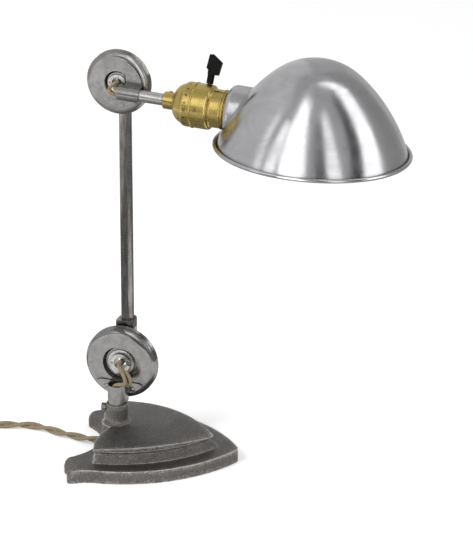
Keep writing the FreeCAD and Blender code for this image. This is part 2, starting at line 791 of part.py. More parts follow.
def joint_core(kind, place, keep):
    """The hollow bushing that holds a friction joint together, with its nut and washers."""
    outer, bore = size(f"{kind}_bushing_radius"), size(f"{kind}_bushing_bore")
    floor = size(f"{kind}_half_depth") - size(f"{kind}_recess_depth")
    inner = floor - size("disc_wall")
    spring, flange = size("spring_thick"), size("flange_thick")
    washer, gap = size(f"{kind}_washer_radius"), size("running_gap")
    nut = size(f"{kind}_nut_thick")
    top = floor + spring + nut
    low = -1 * floor - spring
    keep(turned(f"{kind}_bushing", [
        (bore, low - flange), (outer + 3.0, low - flange), (outer + 3.0, low), (outer, low),
        (outer, top + 0.2), (bore + 0.6, top + 0.2), (bore, top - 0.4, 0.6)], place))
    keep(turned(f"{kind}_friction_washer", [
        (outer + 0.3, gap - inner), (size(f"{kind}_recess_radius") - 1.2, gap - inner),
        (size(f"{kind}_recess_radius") - 1.2, inner), (outer + 0.3, inner)], place))
    keep(turned(f"{kind}_rear_washer", [
        (outer + gap, low), (washer, low), (washer, -1 * floor - gap), (outer + gap, -1 * floor - gap)],
        place))
    keep(turned(f"{kind}_spring_washer", [
        (outer + gap, floor), (washer, floor), (washer, floor + spring), (outer + gap, floor + spring)],
        place))
    ring = turned(f"{kind}_ring_nut", [
        (outer, floor + spring), (size(f"{kind}_nut_radius"), floor + spring),
        (size(f"{kind}_nut_radius"), top), (outer, top)], place)
    half_slot = size("nut_slot_width") / 2
    pocket(ring, f"{kind}_ring_nut_slot", [block(-12.0, 12.0, -1 * half_slot, half_slot)],
           size("nut_slot_depth"), height=top)
    keep(ring)


saddle_start, saddle_end = size("tunnel_start"), size("arm_tunnel_end")
stem_reach = size("boss_below_joint") - 0.1
on_lower(saddle("stem_saddle", at_lower(FACING), "lower", stem_radius, saddle_start, stem_reach))
rivets("stem_saddle_rivets", at_lower(FACING), "lower")

# ---------------------------------------------------------------- lower joint and upright arm

on_lower(disc("lower_front_disc", at_lower(FACING), "lower"))
on_lower(disc("lower_rear_disc", at_lower(BACKING), "lower"))
joint_core("lower", at_lower(FACING), on_lower)
arm_radius = size("arm_tube_radius")
on_lower(saddle("arm_lower_saddle", at_lower(BACKING), "lower", arm_radius, saddle_start, saddle_end))
rivets("arm_lower_rivets", at_lower(BACKING), "lower")

tube_foot = size("lower_axis_height") + saddle_start + 0.5
tube_top = upper_height - size("upper_tunnel_start") - 0.5
arm_tube_place = FreeCAD.Placement(FreeCAD.Vector(0, arm_plane.value, 0), FreeCAD.Rotation())
bind_place(turned("arm_tube", [
    (size("arm_tube_bore"), tube_foot), (arm_radius, tube_foot), (arm_radius, tube_top),
    (size("arm_tube_bore"), tube_top)], arm_tube_place), y=arm_plane)

# ---------------------------------------------------------------- upper joint

hanging = FreeCAD.Rotation(COORD_Y, 180).multiply(BACKING)
on_upper(saddle("arm_upper_saddle", at_upper(hanging), "upper", arm_radius,
                size("upper_tunnel_start"), size("upper_tunnel_end")))
rivets("arm_upper_rivets", at_upper(hanging), "upper")
on_upper(disc("upper_rear_disc", at_upper(hanging), "upper"))

head_facing = head_place.multiply(FreeCAD.Placement(ORIGIN, FACING))
on_upper(disc("upper_front_disc", head_facing, "upper", holed=False))
joint_core("upper", head_facing, on_upper)

head_saddle = new_body("head_saddle", head_facing)
head_face, head_tunnel = size("upper_half_depth"), size("head_tunnel_radius")
plate_start = size("head_plate_start")
plate_reach = size("upper_face_radius") - 1.0
plate_corner = root(plate_reach * plate_reach - plate_start * plate_start)
pad(head_saddle, "head_saddle_plate", [[
    (plate_start, -1 * plate_corner), (plate_start, plate_corner, plate_reach)]],
    size("saddle_plate"), height=head_face)
tunnel_low = -1 * size("shade_arm_drop") - head_tunnel
tunnel_high = head_tunnel - size("shade_arm_drop")
tunnel_axis = head_face + head_tunnel
pad(head_saddle, "head_saddle_walls", [block(tunnel_low, tunnel_high, head_face, tunnel_axis)],
    size("head_tunnel_end") - plate_start, "YZ_Plane", plate_start)
pad(head_saddle, "head_saddle_arch", [(-1 * size("shade_arm_drop"), tunnel_axis, head_tunnel)],
    size("head_tunnel_end") - size("head_tunnel_start"), "YZ_Plane", size("head_tunnel_start"))
pocket(head_saddle, "head_saddle_bore", [
    (-1 * size("shade_arm_drop"), tunnel_axis, size("shade_arm_radius") + gap)], plane="YZ_Plane")
on_upper(head_saddle)

# ---------------------------------------------------------------- shade arm and socket

turned("shade_arm", [
    (size("shade_arm_bore"), size("shade_arm_start")),
    (size("shade_arm_radius"), size("shade_arm_start")),
    (size("shade_arm_radius"), size("shade_arm_end")),
    (size("shade_arm_bore"), size("shade_arm_end"))], along_arm())

leaned = FreeCAD.Placement(ORIGIN, FreeCAD.Rotation(COORD_X, -SIZES["key_lean"]))
key_line = shade_line.multiply(leaned)
key_along = key_line.multiply(FreeCAD.Placement(ORIGIN, ALONG_X))
pipe, neck_start = size("shade_arm_radius") + gap, size("collar_start")
neck_end = neck_start + size("collar_length")
cap_radius, cap_wall = size("cap_radius"), size("cap_wall")
shoulder, cap_end = size("cap_shoulder"), size("cap_end")
bead = size("bead_radius")
cap = turned("socket_cap", [
    (pipe, neck_start), (size("collar_radius") - 0.6, neck_start), (size("collar_radius"), neck_start + 0.6),
    (size("collar_radius"), neck_end), (cap_radius - 2.0, shoulder, 12.0),
    (cap_radius, shoulder + 3.2, 4.0), (cap_radius, cap_end - bead * 2 - 0.1),
    (cap_radius, cap_end - 0.1, bead + 0.08), (cap_radius, cap_end), (cap_radius - cap_wall, cap_end),
    (cap_radius - cap_wall, shoulder + 3.5), (cap_radius - 2.7, shoulder + 0.7, -3.4),
    (size("collar_radius") + 0.2, neck_end + 1.5, -11.0), (pipe, neck_end + 1.5)], key_along)
pocket(cap, "socket_cap_screw_hole", [(0, neck_start + 4.6, 1.5)], 12.0, "YZ_Plane", reverse=False)
vent = pocket(cap, "socket_cap_pin_hole", [(0, size("pin_hole_at"), size("pin_hole_radius"))],
              30.0, "XZ_Plane")
ring_of_holes = cap.newObject("PartDesign::PolarPattern", "socket_cap_pin_holes")
ring_of_holes.Originals = [vent]
ring_of_holes.Axis = (origin_plane(cap, "Z_Axis"), [""])
ring_of_holes.Angle = 360
ring_of_holes.Occurrences = int(SIZES["pin_hole_count"])
cap.Tip = ring_of_holes

collar_screw_place = key_line.multiply(FreeCAD.Placement(
    FreeCAD.Vector(SIZES["collar_start"] + 4.6, 0, pipe.value), FreeCAD.Rotation()))
cap_screw = turned("cap_set_screw", [(0, 0), (1.5, 0), (1.5, 3.0), (0, 3.0)], collar_screw_place)
pocket(cap_screw, "cap_set_screw_slot", [block(-2.0, 2.0, -0.3, 0.3)], 0.8, height=3.0)

waist, waist_start = size("shell_waist_radius"), size("shell_waist_start")
shell_wall, shell_end = size("shell_wall"), size("shell_end")
plug_in = cap_radius - cap_wall - 0.1
thread = size("thread_radius")
shell = turned("socket_shell", [
    (plug_in, cap_end - 3.5), (plug_in, cap_end + 0.06), (cap_radius, cap_end + 0.06),
    (cap_radius, waist_start - 3.2), (cap_radius - 0.9, waist_start - 1.1, 2.6),
    (waist, waist_start + 0.8, -2.4),
    (waist, shell_end - 4.8), (waist, shell_end - 3.0, 0.95), (waist, shell_end - 2.4),
    (waist, shell_end - 0.6, 0.95), (waist, shell_end), (thread, shell_end), (thread, size("thread_end")),
    (thread - shell_wall, size("thread_end")), (thread - shell_wall, waist_start + 0.6),
    (cap_radius - shell_wall - 0.1, waist_start - 2.8), (cap_radius - shell_wall - 0.1, cap_end + 0.9),
    (plug_in - shell_wall, cap_end + 0.9), (plug_in - shell_wall, cap_end - 3.5)], key_along)
shaft_radius, key_at = size("key_shaft_radius"), size("key_at")
pocket(shell, "socket_shell_key_hole", [(0, key_at, shaft_radius + 0.4)], 24.0, "YZ_Plane", reverse=False)

liner_outer = plug_in - shell_wall - 0.08
core = size("core_radius")
liner_inner = core + 0.05
liner = turned("socket_liner", [
    (liner_inner, cap_end - 3.0), (liner_outer, cap_end - 3.0), (liner_outer, waist_start - 3.4),
    (liner_inner, waist_start - 3.4)], key_along)
pocket(liner, "socket_liner_key_hole", [(0, key_at, shaft_radius + 0.4)], 24.0, "YZ_Plane")

core_start, core_end = size("core_start"), size("core_end")
socket_body = turned("socket_body", [
    (0, core_start), (core - 0.6, core_start), (core, core_start + 0.6), (core, waist_start - 3.4),
    (core - 2.5, waist_start - 0.6), (core - 2.5, core_end), (0, core_end)], key_along)
pocket(socket_body, "socket_body_key_hole", [(0, key_at, shaft_radius + gap)], 24.0, "YZ_Plane")
terminal = size("terminal_offset")
pocket(socket_body, "socket_body_terminal_holes", [(0, terminal, 1.5), (0, -1 * terminal, 1.5)],
       5.0, height=core_start, reverse=True)


def terminal_screws():
    one = revolved([(0, -4.6), (1.5, -4.6), (1.5, 0), (2.7, 0), (2.7, 1.5), (2.4, 1.8), (0, 1.8)])
    slot = Part.makeBox(6, 0.7, 0.8, FreeCAD.Vector(-3, -0.35, 1.1))
    pair = []
    for side in (-1, 1):
        screw = one.cut(slot)
        screw.rotate(ORIGIN, COORD_X, 180)
        screw.translate(FreeCAD.Vector(0, side * SIZES["terminal_offset"], SIZES["core_start"]))
        pair.append(screw)
    return Part.makeCompound(pair)


feature_of("terminal_screws", terminal_screws(), key_along)

lamp_thread, lamp_wall = size("screw_shell_radius"), size("screw_shell_wall")
lamp_floor = core_end + size("screw_shell_taper")
turned("screw_shell", [
    (lamp_thread, size("screw_shell_end")), (lamp_thread, lamp_floor),
    (lamp_thread - 3.6, core_end + lamp_wall), (5.5, core_end + lamp_wall), (5.5, core_end),
    (lamp_thread - 3.4, core_end), (lamp_thread + lamp_wall, lamp_floor - 0.2),
    (lamp_thread + lamp_wall, size("screw_shell_end"))], key_along)
turned("centre_contact", [
    (0, core_end), (2.2, core_end), (2.2, core_end + 1.4), (3.6, core_end + 1.8), (3.6, core_end + 2.4),
    (0, core_end + 3.0)], key_along)

key_place = key_line.multiply(FreeCAD.Placement(
    FreeCAD.Vector(SIZES["key_at"], 0, 0), FreeCAD.Rotation()))
turned("switch_shaft", [
    (0, 3.0), (shaft_radius, 3.0), (shaft_radius, cap_radius + 7.0), (0, cap_radius + 7.0)], key_place)
key_foot = cap_radius + 0.35
switch_key = turned("switch_key", [
    (shaft_radius, key_foot), (size("key_stem_radius"), key_foot),
    (size("key_stem_radius"), cap_radius + size("key_stem_length")),
    (0, cap_radius + size("key_stem_length")), (0, cap_radius + 7.0), (shaft_radius, cap_radius + 7.0)],
    key_place)
flag_foot = cap_radius + size("key_stem_length") - 1.5
pad(switch_key, "switch_key_flag", [[
    (-3.0, flag_foot), (3.4, flag_foot), (6.6, cap_radius + 8.3), (8.1, cap_radius + 19.3),
    (-0.7, cap_radius + 25.3), (-3.7, cap_radius + 24.7), (-4.8, cap_radius + 13.2),
    (-3.0, cap_radius + 11.7)]], size("key_thick"), "XZ_Plane", size("key_thick") / -2)

# ---------------------------------------------------------------- shade


def cosine(angle):
    return Size(math.cos(math.radians(angle.value)), f"cos({angle.text} * 1 deg)")


def sine(angle):
    return Size(math.sin(math.radians(angle.value)), f"sin({angle.text} * 1 deg)")


crown_radius, crown_angle = size("dome_crown_radius"), size("dome_crown_angle")
dome_radius, dome_height = size("dome_radius"), size("dome_height")
crown_z = dome_height - crown_radius
# the side arc leaves the crown arc at a tangent and ends on the rim
over_rim = dome_radius * dome_radius + crown_z * crown_z - crown_radius * crown_radius
lean_in = dome_radius * cosine(crown_angle) - crown_z * sine(crown_angle) - crown_radius
wider = over_rim / (lean_in * -2)
side_radius = crown_radius + wider
side_x = -1 * wider * cosine(crown_angle)
side_z = crown_z - wider * sine(crown_angle)
dome_axis_at = size("neck_mouth") + dome_radius - size("dome_neck_sink")
dome_place = shade_line.multiply(rolled).multiply(FreeCAD.Placement(
    FreeCAD.Vector(dome_axis_at.value, 0, -SIZES["rim_drop"]), FreeCAD.Rotation()))


def dome(label, inset, low):
    """The dome's solid from a crown arc and a side arc that meet at a tangent."""
    crown, side = crown_radius - inset, side_radius - inset
    drop = side_z * -1 + low
    foot = side_x + root(side * side - drop * drop)
    return turned(label, [
        (0, low), (foot, low),
        (crown * cosine(crown_angle), crown_z + crown * sine(crown_angle), side),
        (0, crown_z + crown, crown)], dome_place)


def ring_about_arm(label, outline):
    return turned(label, outline, along_arm())


wall = size("dome_wall")
mouth, mouth_radius = size("neck_mouth"), size("neck_mouth_radius")
neck, neck_round = size("neck_radius"), size("neck_round")
neck_rise = neck - mouth_radius
neck_end, seat_start = dome_axis_at - dome_radius * 0.44, mouth - 14.0
dome_skin = dome("dome_skin", as_size(0.0), as_size(0.0))
dome_void = dome("dome_void", wall, as_size(-3.0))
neck_skin = ring_about_arm("neck_skin", [
    (0, mouth), (mouth_radius, mouth), (neck, mouth + neck_rise, neck_round), (neck, neck_end),
    (0, neck_end)])
inside = mouth + wall
neck_void = ring_about_arm("neck_void", [
    (0, inside), (mouth_radius, inside), (neck - wall, inside + neck_rise - wall, neck_round - wall),
    (neck - wall, neck_end), (0, neck_end)])
seat_wall = ring_about_arm("seat_wall", [(0, seat_start), (mouth_radius + 0.9 + wall, seat_start),
                                         (mouth_radius + 0.9 + wall, inside), (0, inside)])
seat_sink = ring_about_arm("seat_sink", [(0, seat_start), (mouth_radius + 0.9, seat_start),
                                         (mouth_radius + 0.9, mouth), (0, mouth)])
mouth_hole = ring_about_arm("mouth_hole", [
    (0, mouth - 6.0), (thread + 0.1, mouth - 6.0), (thread + 0.1, inside + 6.0), (0, inside + 6.0)])
rim_bead = doc.addObject("Part::Torus", "rim_bead")
bind_length(rim_bead, "Radius1", dome_radius + size("rim_bead_radius") - 0.6)
bind_length(rim_bead, "Radius2", size("rim_bead_radius"))
rim_bead.Placement = dome_place.multiply(FreeCAD.Placement(
    FreeCAD.Vector(0, 0, SIZES["rim_bead_radius"] - 0.3), FreeCAD.Rotation()))


def fused(name, shapes):
    both = doc.addObject("Part::MultiFuse", name)
    both.Shapes = shapes
    both.Refine = False
    return both


def less(name, base, tool):
    rest = doc.addObject("Part::Cut", name)
    rest.Base = base
    rest.Tool = tool
    rest.Refine = False
    return rest


skin = fused("shade_skin", [dome_skin, neck_skin, rim_bead])
void = less("shade_void", fused("shade_room", [dome_void, neck_void]), seat_wall)
shade = less("shade", less("shade_sunk", less("shade_hollow", skin, void), seat_sink), mouth_hole)
shade.Label = "shade"

ring_inner, ring_radius = thread + gap, size("shade_ring_radius")
ring_foot = inside + 0.05
turned("shade_ring", [
    (ring_inner, ring_foot), (mouth_radius - 0.2, ring_foot), (ring_radius - 0.4, ring_foot + 2.8),
    (ring_radius - 0.4, ring_foot + size("shade_ring_thick")),
    (ring_inner, ring_foot + size("shade_ring_thick"))],
    along_arm())

# ---------------------------------------------------------------- conductors inside the arms


def conductors(label, routes, place=None):
    """Two insulated conductors that run side by side."""
    tubes = [tube_along(f"{label} {index}", route, SIZES["conductor_diameter"])
             for index, route in enumerate(routes, start=1)]
    return feature_of(label, Part.makeCompound(tubes), place)


apart = 1.65
low_z, high_z = lower_centre.z, upper_centre.z
front_y, arm_y, back_y = lower_plane.value, arm_plane.value, upper_plane.value
wire_foot = SIZES["stem_foot"] + 1.5
conductors("stem_wires", [
    [(0, -apart, wire_foot), (0, -apart, low_z - 20.5), (5.2, -3.6, low_z - 12.5),
     (10.4, -4.6, low_z - 6), (8.3, -4.4, low_z + 0.8),
     (2.6, -1.2, low_z + 1.9), (0, 5, low_z + apart), (0, front_y - 0.03, low_z + apart)],
    [(0, apart, wire_foot), (0, apart, low_z - 20.5), (4.9, 0.2, low_z - 13.4),
     (9.7, -0.9, low_z - 8.4), (9, -0.8, low_z - 3),
     (3.4, 0.6, low_z - 1.8), (0, 6, low_z - apart), (0, front_y - 0.03, low_z - apart)]])
inner_y, outer_y = arm_y - apart, arm_y + apart
conductors("arm_wires", [
    [(0, front_y + 0.03, low_z + apart), (0, front_y + 8, low_z + apart), (0, inner_y, low_z + 6.9),
     (0, inner_y, high_z - 7), (0, back_y + 6.3, high_z - apart), (0, back_y + 0.03, high_z - apart)],
    [(0, front_y + 0.03, low_z - apart), (0, front_y + 9.3, low_z - apart), (0, outer_y, low_z + 5.5),
     (0, outer_y, high_z - 5.5), (0, back_y + 7.5, high_z + apart), (0, back_y + 0.03, high_z + apart)]])
arm_out, arm_low = -shade_arm_out.value, -SIZES["shade_arm_drop"]
shade_end, body_face = SIZES["shade_arm_end"], SIZES["core_start"] - 0.05
conductors("head_wires", [
    [(0, -0.03, apart), (0, -7.6, apart), (-4.5, -11.2, 1.2), (-7.6, -14.6, -1.6), (-6.2, -15.8, -6),
     (-1, -14.6, -7.6), (4.8, arm_out - 0.5, arm_low - 2), (12, arm_out, arm_low - apart),
     (shade_end + 0.5, arm_out + 0.2, arm_low - 1.7), (shade_end + 4.2, arm_out + 5.6, arm_low - 2.5),
     (body_face, arm_out + 5.7, arm_low - 2.5)],
    [(0, -0.03, -apart), (0, -7.6, -apart), (-3.2, -11.2, -1.2), (-3.6, -14.6, -1.6), (-1.2, -16.6, -2),
     (2.6, -15.2, -2.6), (6.5, arm_out - 0.2, -2.9), (14, arm_out, arm_low + apart),
     (shade_end + 0.5, arm_out - 0.2, arm_low + 1.7), (shade_end + 4.2, arm_out - 5.6, arm_low + 2.5),
     (body_face, arm_out - 5.7, arm_low + 2.5)]], head_place)

# ---------------------------------------------------------------- flexible cord, coil and plug

cord_width = SIZES["cord_diameter"]
cord_low = cord_width / 2
coil_centre = FreeCAD.Vector(SIZES["coil_x"], SIZES["coil_y"], 0)
outer_coil = SIZES["coil_radius"]


def from_base(x, y, z):
    return base_place.multVec(FreeCAD.Vector(x, y, z))


exit_side, exit_height = SIZES["cord_exit_side"], SIZES["cord_hole_height"]
cord_route = [
    from_base(-9.3, exit_side, exit_height),
    from_base(-24.3, exit_side, exit_height),
    FreeCAD.Vector(-37.5, 7.6, cord_low + 0.2),
    FreeCAD.Vector(-50.5, 9.2, cord_low + 0.1),
    FreeCAD.Vector(-66.0, 13.0, cord_low + 0.1),
    FreeCAD.Vector(-82.5, 16.8, cord_low + 0.1),
    FreeCAD.Vector(-98.5, 14.2, cord_low + 0.1),
    FreeCAD.Vector(-114.0, 8.4, cord_low + 0.1),
    FreeCAD.Vector(-146.0, -5.0, cord_low + 0.1),
]
incoming = cord_route[-1] - coil_centre
incoming.z = 0
coil_start_angle = math.atan2(incoming.y, incoming.x) - math.acos(outer_coil / incoming.Length)


def coil_point(turn):
    """The coil's centreline: in on the lower layer, up where it reverses, out on the upper."""
    layer = SIZES["coil_layer_turns"]
    past = turn - layer
    step = 0.25
    if abs(past) < step:
        inward = layer - (past * past / (2 * step) + step / 2)
        share = (past + step) / (2 * step)
        climb = share * share * (3 - 2 * share)
    else:
        inward = layer - abs(past)
        climb = 0.0 if past < 0 else 1.0
    radius = outer_coil - SIZES["coil_pitch"] * inward
    angle = coil_start_angle - 2 * math.pi * turn
    height = cord_low + 0.1 + SIZES["coil_layer_rise"] * climb
    return coil_centre + FreeCAD.Vector(radius * math.cos(angle), radius * math.sin(angle), height)


def coil_way(turn):
    return (coil_point(turn + 1e-5) - coil_point(turn - 1e-5)).normalize()


coil_turns = 2 * SIZES["coil_layer_turns"]
knots = [index / 4 for index in range(int(round(coil_turns * 4)) + 1)]
first_way = coil_way(0.0)
first_way.z = 0
first_way.normalize()
last_way = coil_way(coil_turns)
coil_edges = [Part.makeLine(coil_point(0.0) - first_way * cord_width, coil_point(0.0))]
for before, after in zip(knots, knots[1:]):
    before_way = first_way if before == 0 else coil_way(before)
    coil_edges += biarc(coil_point(before), before_way, coil_point(after), coil_way(after))
tail_start = coil_point(coil_turns)
plug_nose = tail_start + last_way * SIZES["plug_tail"]
plug_nose.z = SIZES["plug_radius"]
tail_end = plug_nose - last_way * cord_width
coil_edges += biarc(tail_start, last_way, tail_end, last_way)
coil_edges.append(Part.makeLine(tail_end, plug_nose))
coil_path = Part.Wire(coil_edges)
coil_profile = Part.Wire([Part.Circle(
    coil_path.Edges[0].Vertexes[0].Point, first_way, cord_width / 2).toShape()])
coil = coil_path.makePipeShell([coil_profile], True, False)
coil_expected = math.pi * cord_width * cord_width / 4 * coil_path.Length
if not coil.isValid() or abs(coil.Volume - coil_expected) > 0.01 * coil_expected:
    raise RuntimeError(f"coil volume {coil.Volume:.0f}, section times length {coil_expected:.0f}")


def least_gap():
    """The least free space between the coil's tube and itself, on points along it."""
    samples = [coil_point(index / 180) for index in range(int(coil_turns * 180) + 1)]
    least = 1e9
    for index, spot in enumerate(samples):
        for other in samples[index + 90:]:
            least = min(least, (spot - other).Length)
    return least - cord_width


print(f"flex_cord_coil: length {coil_path.Length:.1f}, least gap to itself {least_gap():.2f}")
cord_end = coil_path.Edges[0].Vertexes[0].Point
cord_route[-1] = cord_end - first_way * (cord_end - cord_route[-1]).Length
cord_route.append(cord_end)
feature_of("flex_cord", tube_along("flex_cord", cord_route, cord_width))
feature_of("flex_cord_coil", coil)

plug_turn = FreeCAD.Rotation(COORD_Z, last_way)
plug_place = FreeCAD.Placement(plug_nose, plug_turn)
plug_radius, plug_length = size("plug_radius"), size("plug_length")
turned("plug_body", [
    (0, 0), (4.6, 0), (5.4, 3.5), (9.0, 8.5), (plug_radius, 13.5, -7.5), (plug_radius, plug_length - 2.0),
    (plug_radius - 2.0, plug_length, 2.0), (0, plug_length)], plug_place)


def plug_blades():
    pair = []
    for side in (-1, 1):
        blade = Part.makeBox(1.5, 6.3, SIZES["blade_length"],
                             FreeCAD.Vector(side * 6.35 - 0.75, -3.15, SIZES["plug_length"]))
        hole_at = FreeCAD.Vector(side * 6.35 - 2, 0, SIZES["plug_length"] + 12.5)
        hole = Part.makeCylinder(1.6, 4, hole_at, COORD_X)
        pair.append(blade.cut(hole))
    return Part.makeCompound(pair)


feature_of("plug_blades", plug_blades(), plug_place)

# ---------------------------------------------------------------- check and write

doc.recompute()
for item in doc.Objects:
    if "Invalid" in item.State or "Error" in item.State:
        raise RuntimeError(f"{item.Name} failed: {item.State}")

HELPERS = {"dome_skin", "dome_void", "neck_skin", "neck_void", "seat_wall", "seat_sink", "mouth_hole",
           "rim_bead", "shade_skin", "shade_room", "shade_void", "shade_hollow", "shade_sunk"}
os.makedirs("parts", exist_ok=True)
written = 0
for item in doc.Objects:
    whole = item.TypeId in ("PartDesign::Body", "Part::Feature", "Part::Cut")
    if not whole or item.Name in HELPERS:
        continue
    if item.Shape.isNull() or not item.Shape.isValid() or item.Shape.Volume <= 0:
        raise RuntimeError(f"{item.Label} has no sound shape")
    item.Shape.exportStep(f"parts/{item.Label}.step")
    written += 1
print(f"{written} parts written")
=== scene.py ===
"""Looks of the dome shade desk lamp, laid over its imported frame.

Lengths are metres in the frame's own axes: +Z up, the origin on the table under the stem, +X
towards the shade and -Y the side that shows both friction joints.
"""
import math

import bpy
import numpy as np
from mathutils import Matrix, Vector


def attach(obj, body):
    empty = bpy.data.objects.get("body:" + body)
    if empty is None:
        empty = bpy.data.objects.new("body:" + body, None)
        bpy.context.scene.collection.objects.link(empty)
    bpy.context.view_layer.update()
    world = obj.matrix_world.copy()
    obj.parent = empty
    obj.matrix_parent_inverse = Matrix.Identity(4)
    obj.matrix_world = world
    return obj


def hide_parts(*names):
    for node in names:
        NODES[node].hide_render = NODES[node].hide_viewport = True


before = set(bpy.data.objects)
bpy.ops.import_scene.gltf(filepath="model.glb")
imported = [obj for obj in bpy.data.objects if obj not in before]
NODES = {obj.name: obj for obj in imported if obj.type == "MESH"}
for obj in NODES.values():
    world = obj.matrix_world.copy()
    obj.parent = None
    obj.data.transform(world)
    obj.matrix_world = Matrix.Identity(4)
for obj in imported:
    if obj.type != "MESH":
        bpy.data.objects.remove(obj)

bl_info = {
    "name": "Dome Shade Desk Lamp",
    "version": (1, 0, 0),
    "blender": (4, 5, 0),
    "location": "3D View > Sidebar > Desk Lamp",
    "description": "Cast iron, worn steel, brass and cloth cord for a jointed desk lamp",
    "category": "Object",
}

MM = 0.001

# Places that the frame's pieces share: the joints' axes, the shade arm's line and the dome's axis.
LOWER_JOINT = (0.0, 0.0145, 0.080)
UPPER_JOINT = (0.0, 0.0154, 0.3395)
ARM_START = np.array((-0.000185, 0.0033, 0.33490))
ARM_WAY = np.array((0.99919, 0.0, -0.04013))
DOME_HUB = np.array((0.17717, 0.0033, 0.32778))
DOME_WAY = np.array((0.0400, 0.0819, 0.9958))

# The camera fitted to the photograph: its place and its own three axes.
CAMERA_PLACE = (1.1376, -2.9724, 1.5605)
CAMERA_RIGHT = (0.9451, 0.3267, 0.0)
CAMERA_UP = (-0.1309, 0.3786, 0.9163)
CAMERA_BACK = (0.2994, -0.8660, 0.4005)

# ---------------------------------------------------------------- sizes and colours


def length(name, text, value, low=0.0, high=2.0):
    return bpy.props.FloatProperty(name=name, description=text, default=value, min=low, max=high,
                                   unit="LENGTH", subtype="DISTANCE", precision=4)


def colour(name, text, value):
    return bpy.props.FloatVectorProperty(name=name, description=text, default=value, size=3,
                                         min=0.0, max=1.0, subtype="COLOR")


class LampSizes(bpy.types.PropertyGroup):
    cord_width: length("Cord width", "Across both twisted conductors", 0.0068)
    cord_length: length("Cord length", "From the base to the plug's nose", 1.86, 0.5, 3.0)
    cord_lay: length("Lay of the twist", "Length in which the pair turns once", 0.047)
    conductor_width: length("Conductor width", "Across one cloth-covered conductor", 0.0032)


class LampColours(bpy.types.PropertyGroup):
    iron: colour("Iron", "Brushed face of the cast base", (0.135, 0.126, 0.119))
    # Dark iron is also the painted shade in the cove and the corners.
    iron_dark: colour("Dark iron", "Iron in the cove and the pits", (0.040, 0.035, 0.032))
    # Rubbed iron, also used for the painted sheen and the painted edge highlight of the base.
    iron_worn_and_sheen: colour("Worn iron", "Iron where its edges are rubbed bright", (0.86, 0.83, 0.79))
    steel: colour("Steel", "Worn steel of the stampings and tubes", (0.40, 0.39, 0.385))
    tube: colour("Tube", "Drawn steel of the upright", (0.46, 0.445, 0.425))
    # Dark steel is also the painted shade in the corners of the steel and the shade.
    steel_dark: colour("Dark steel", "Patina on the steel", (0.075, 0.064, 0.058))
    bright: colour("Bright steel", "Turned steel", (0.74, 0.73, 0.71))
    spun: colour("Spun steel", "Polished steel of the shade", (0.62, 0.615, 0.63))
    brass: colour("Brass", "Satin brass of the socket", (0.62, 0.47, 0.15))
    # Dark brass is also the painted shade in the socket's corners.
    brass_dark: colour("Dark brass", "Tarnish on the brass", (0.16, 0.105, 0.03))
    cloth: colour("Cloth", "Braid of the conductors", (0.47, 0.375, 0.235))
    cloth_dark: colour("Dark cloth", "Shadow between the braid's threads", (0.11, 0.078, 0.04))
    black: colour("Black", "Moulded key and plug", (0.005, 0.0045, 0.004))
    porcelain: colour("Porcelain", "Glazed body of the socket", (0.80, 0.78, 0.72))
    fibre: colour("Fibre", "Insulating fibre", (0.12, 0.065, 0.04))


class LampStage(bpy.types.PropertyGroup):
    lens: bpy.props.FloatProperty(name="Lens", description="Focal length on a 36 mm sensor",
                                  default=308.2, unit="CAMERA")
    floor: colour("Floor", "Table and backdrop", (0.86, 0.86, 0.86))
    sky: bpy.props.FloatProperty(name="Sky", description="Light from all round", default=0.62)
    key_light: bpy.props.FloatProperty(name="Key light", description="Main soft lamp, in watts",
                                       default=26.0)


def sizes():
    return bpy.context.scene.lamp_sizes


def colours():
    return bpy.context.scene.lamp_colours


# ---------------------------------------------------------------- meshes from arrays


def unit(array):
    return array / np.linalg.norm(array, axis=-1, keepdims=True)


def way_along(path):
    """Unit direction of an open path at each of its points."""
    return unit(np.gradient(path, axis=0))


def length_along(path):
    steps = np.linalg.norm(np.diff(path, axis=0), axis=1)
    return np.concatenate(([0.0], np.cumsum(steps)))


def side_frame(path, up):
    """Two unit vectors across the path: side = way x up, and rise = side x way."""
    way = way_along(path)
    side = unit(np.cross(way, np.broadcast_to(np.asarray(up, float), way.shape)))
    return side, np.cross(side, way)


def grid_faces(rows, columns, closed):
    """Quads between neighbouring rows; the last column joins the first where the rows are closed."""
    row, column = np.meshgrid(np.arange(rows - 1), np.arange(columns - (not closed)), indexing="ij")
    after = (column + 1) % columns
    quads = (row * columns + column, row * columns + after,
             (row + 1) * columns + after, (row + 1) * columns + column)
    return np.stack(quads, axis=-1).reshape(-1, 4)


def add_object(name, data):
    """An object of this data, at the origin of the scene."""
    made = bpy.data.objects.new(name, data)
    bpy.context.scene.collection.objects.link(made)
    return made


def add_mesh(name, points, faces):
    mesh = bpy.data.meshes.new(name)
    mesh.from_pydata(np.asarray(points).reshape(-1, 3), [], faces)
    mesh.update()
    return add_object(name, mesh)


def piece(name, points, faces, uv, body, slot, finish):
    """Makes one smooth object of arrays, hangs it on its body and gives it its finish."""
    made = add_mesh(name, points, faces)
    mesh = made.data
    mesh.polygons.foreach_set("use_smooth", np.full(len(mesh.polygons), True))
    corner = np.empty(len(mesh.loops), np.int32)
    mesh.loops.foreach_get("vertex_index", corner)
    layer = mesh.uv_layers.new(name="along")
    layer.data.foreach_set("uv", np.asarray(uv, np.float32)[corner].ravel())
    mesh.materials.append(finish)
    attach(made, body)
    return made


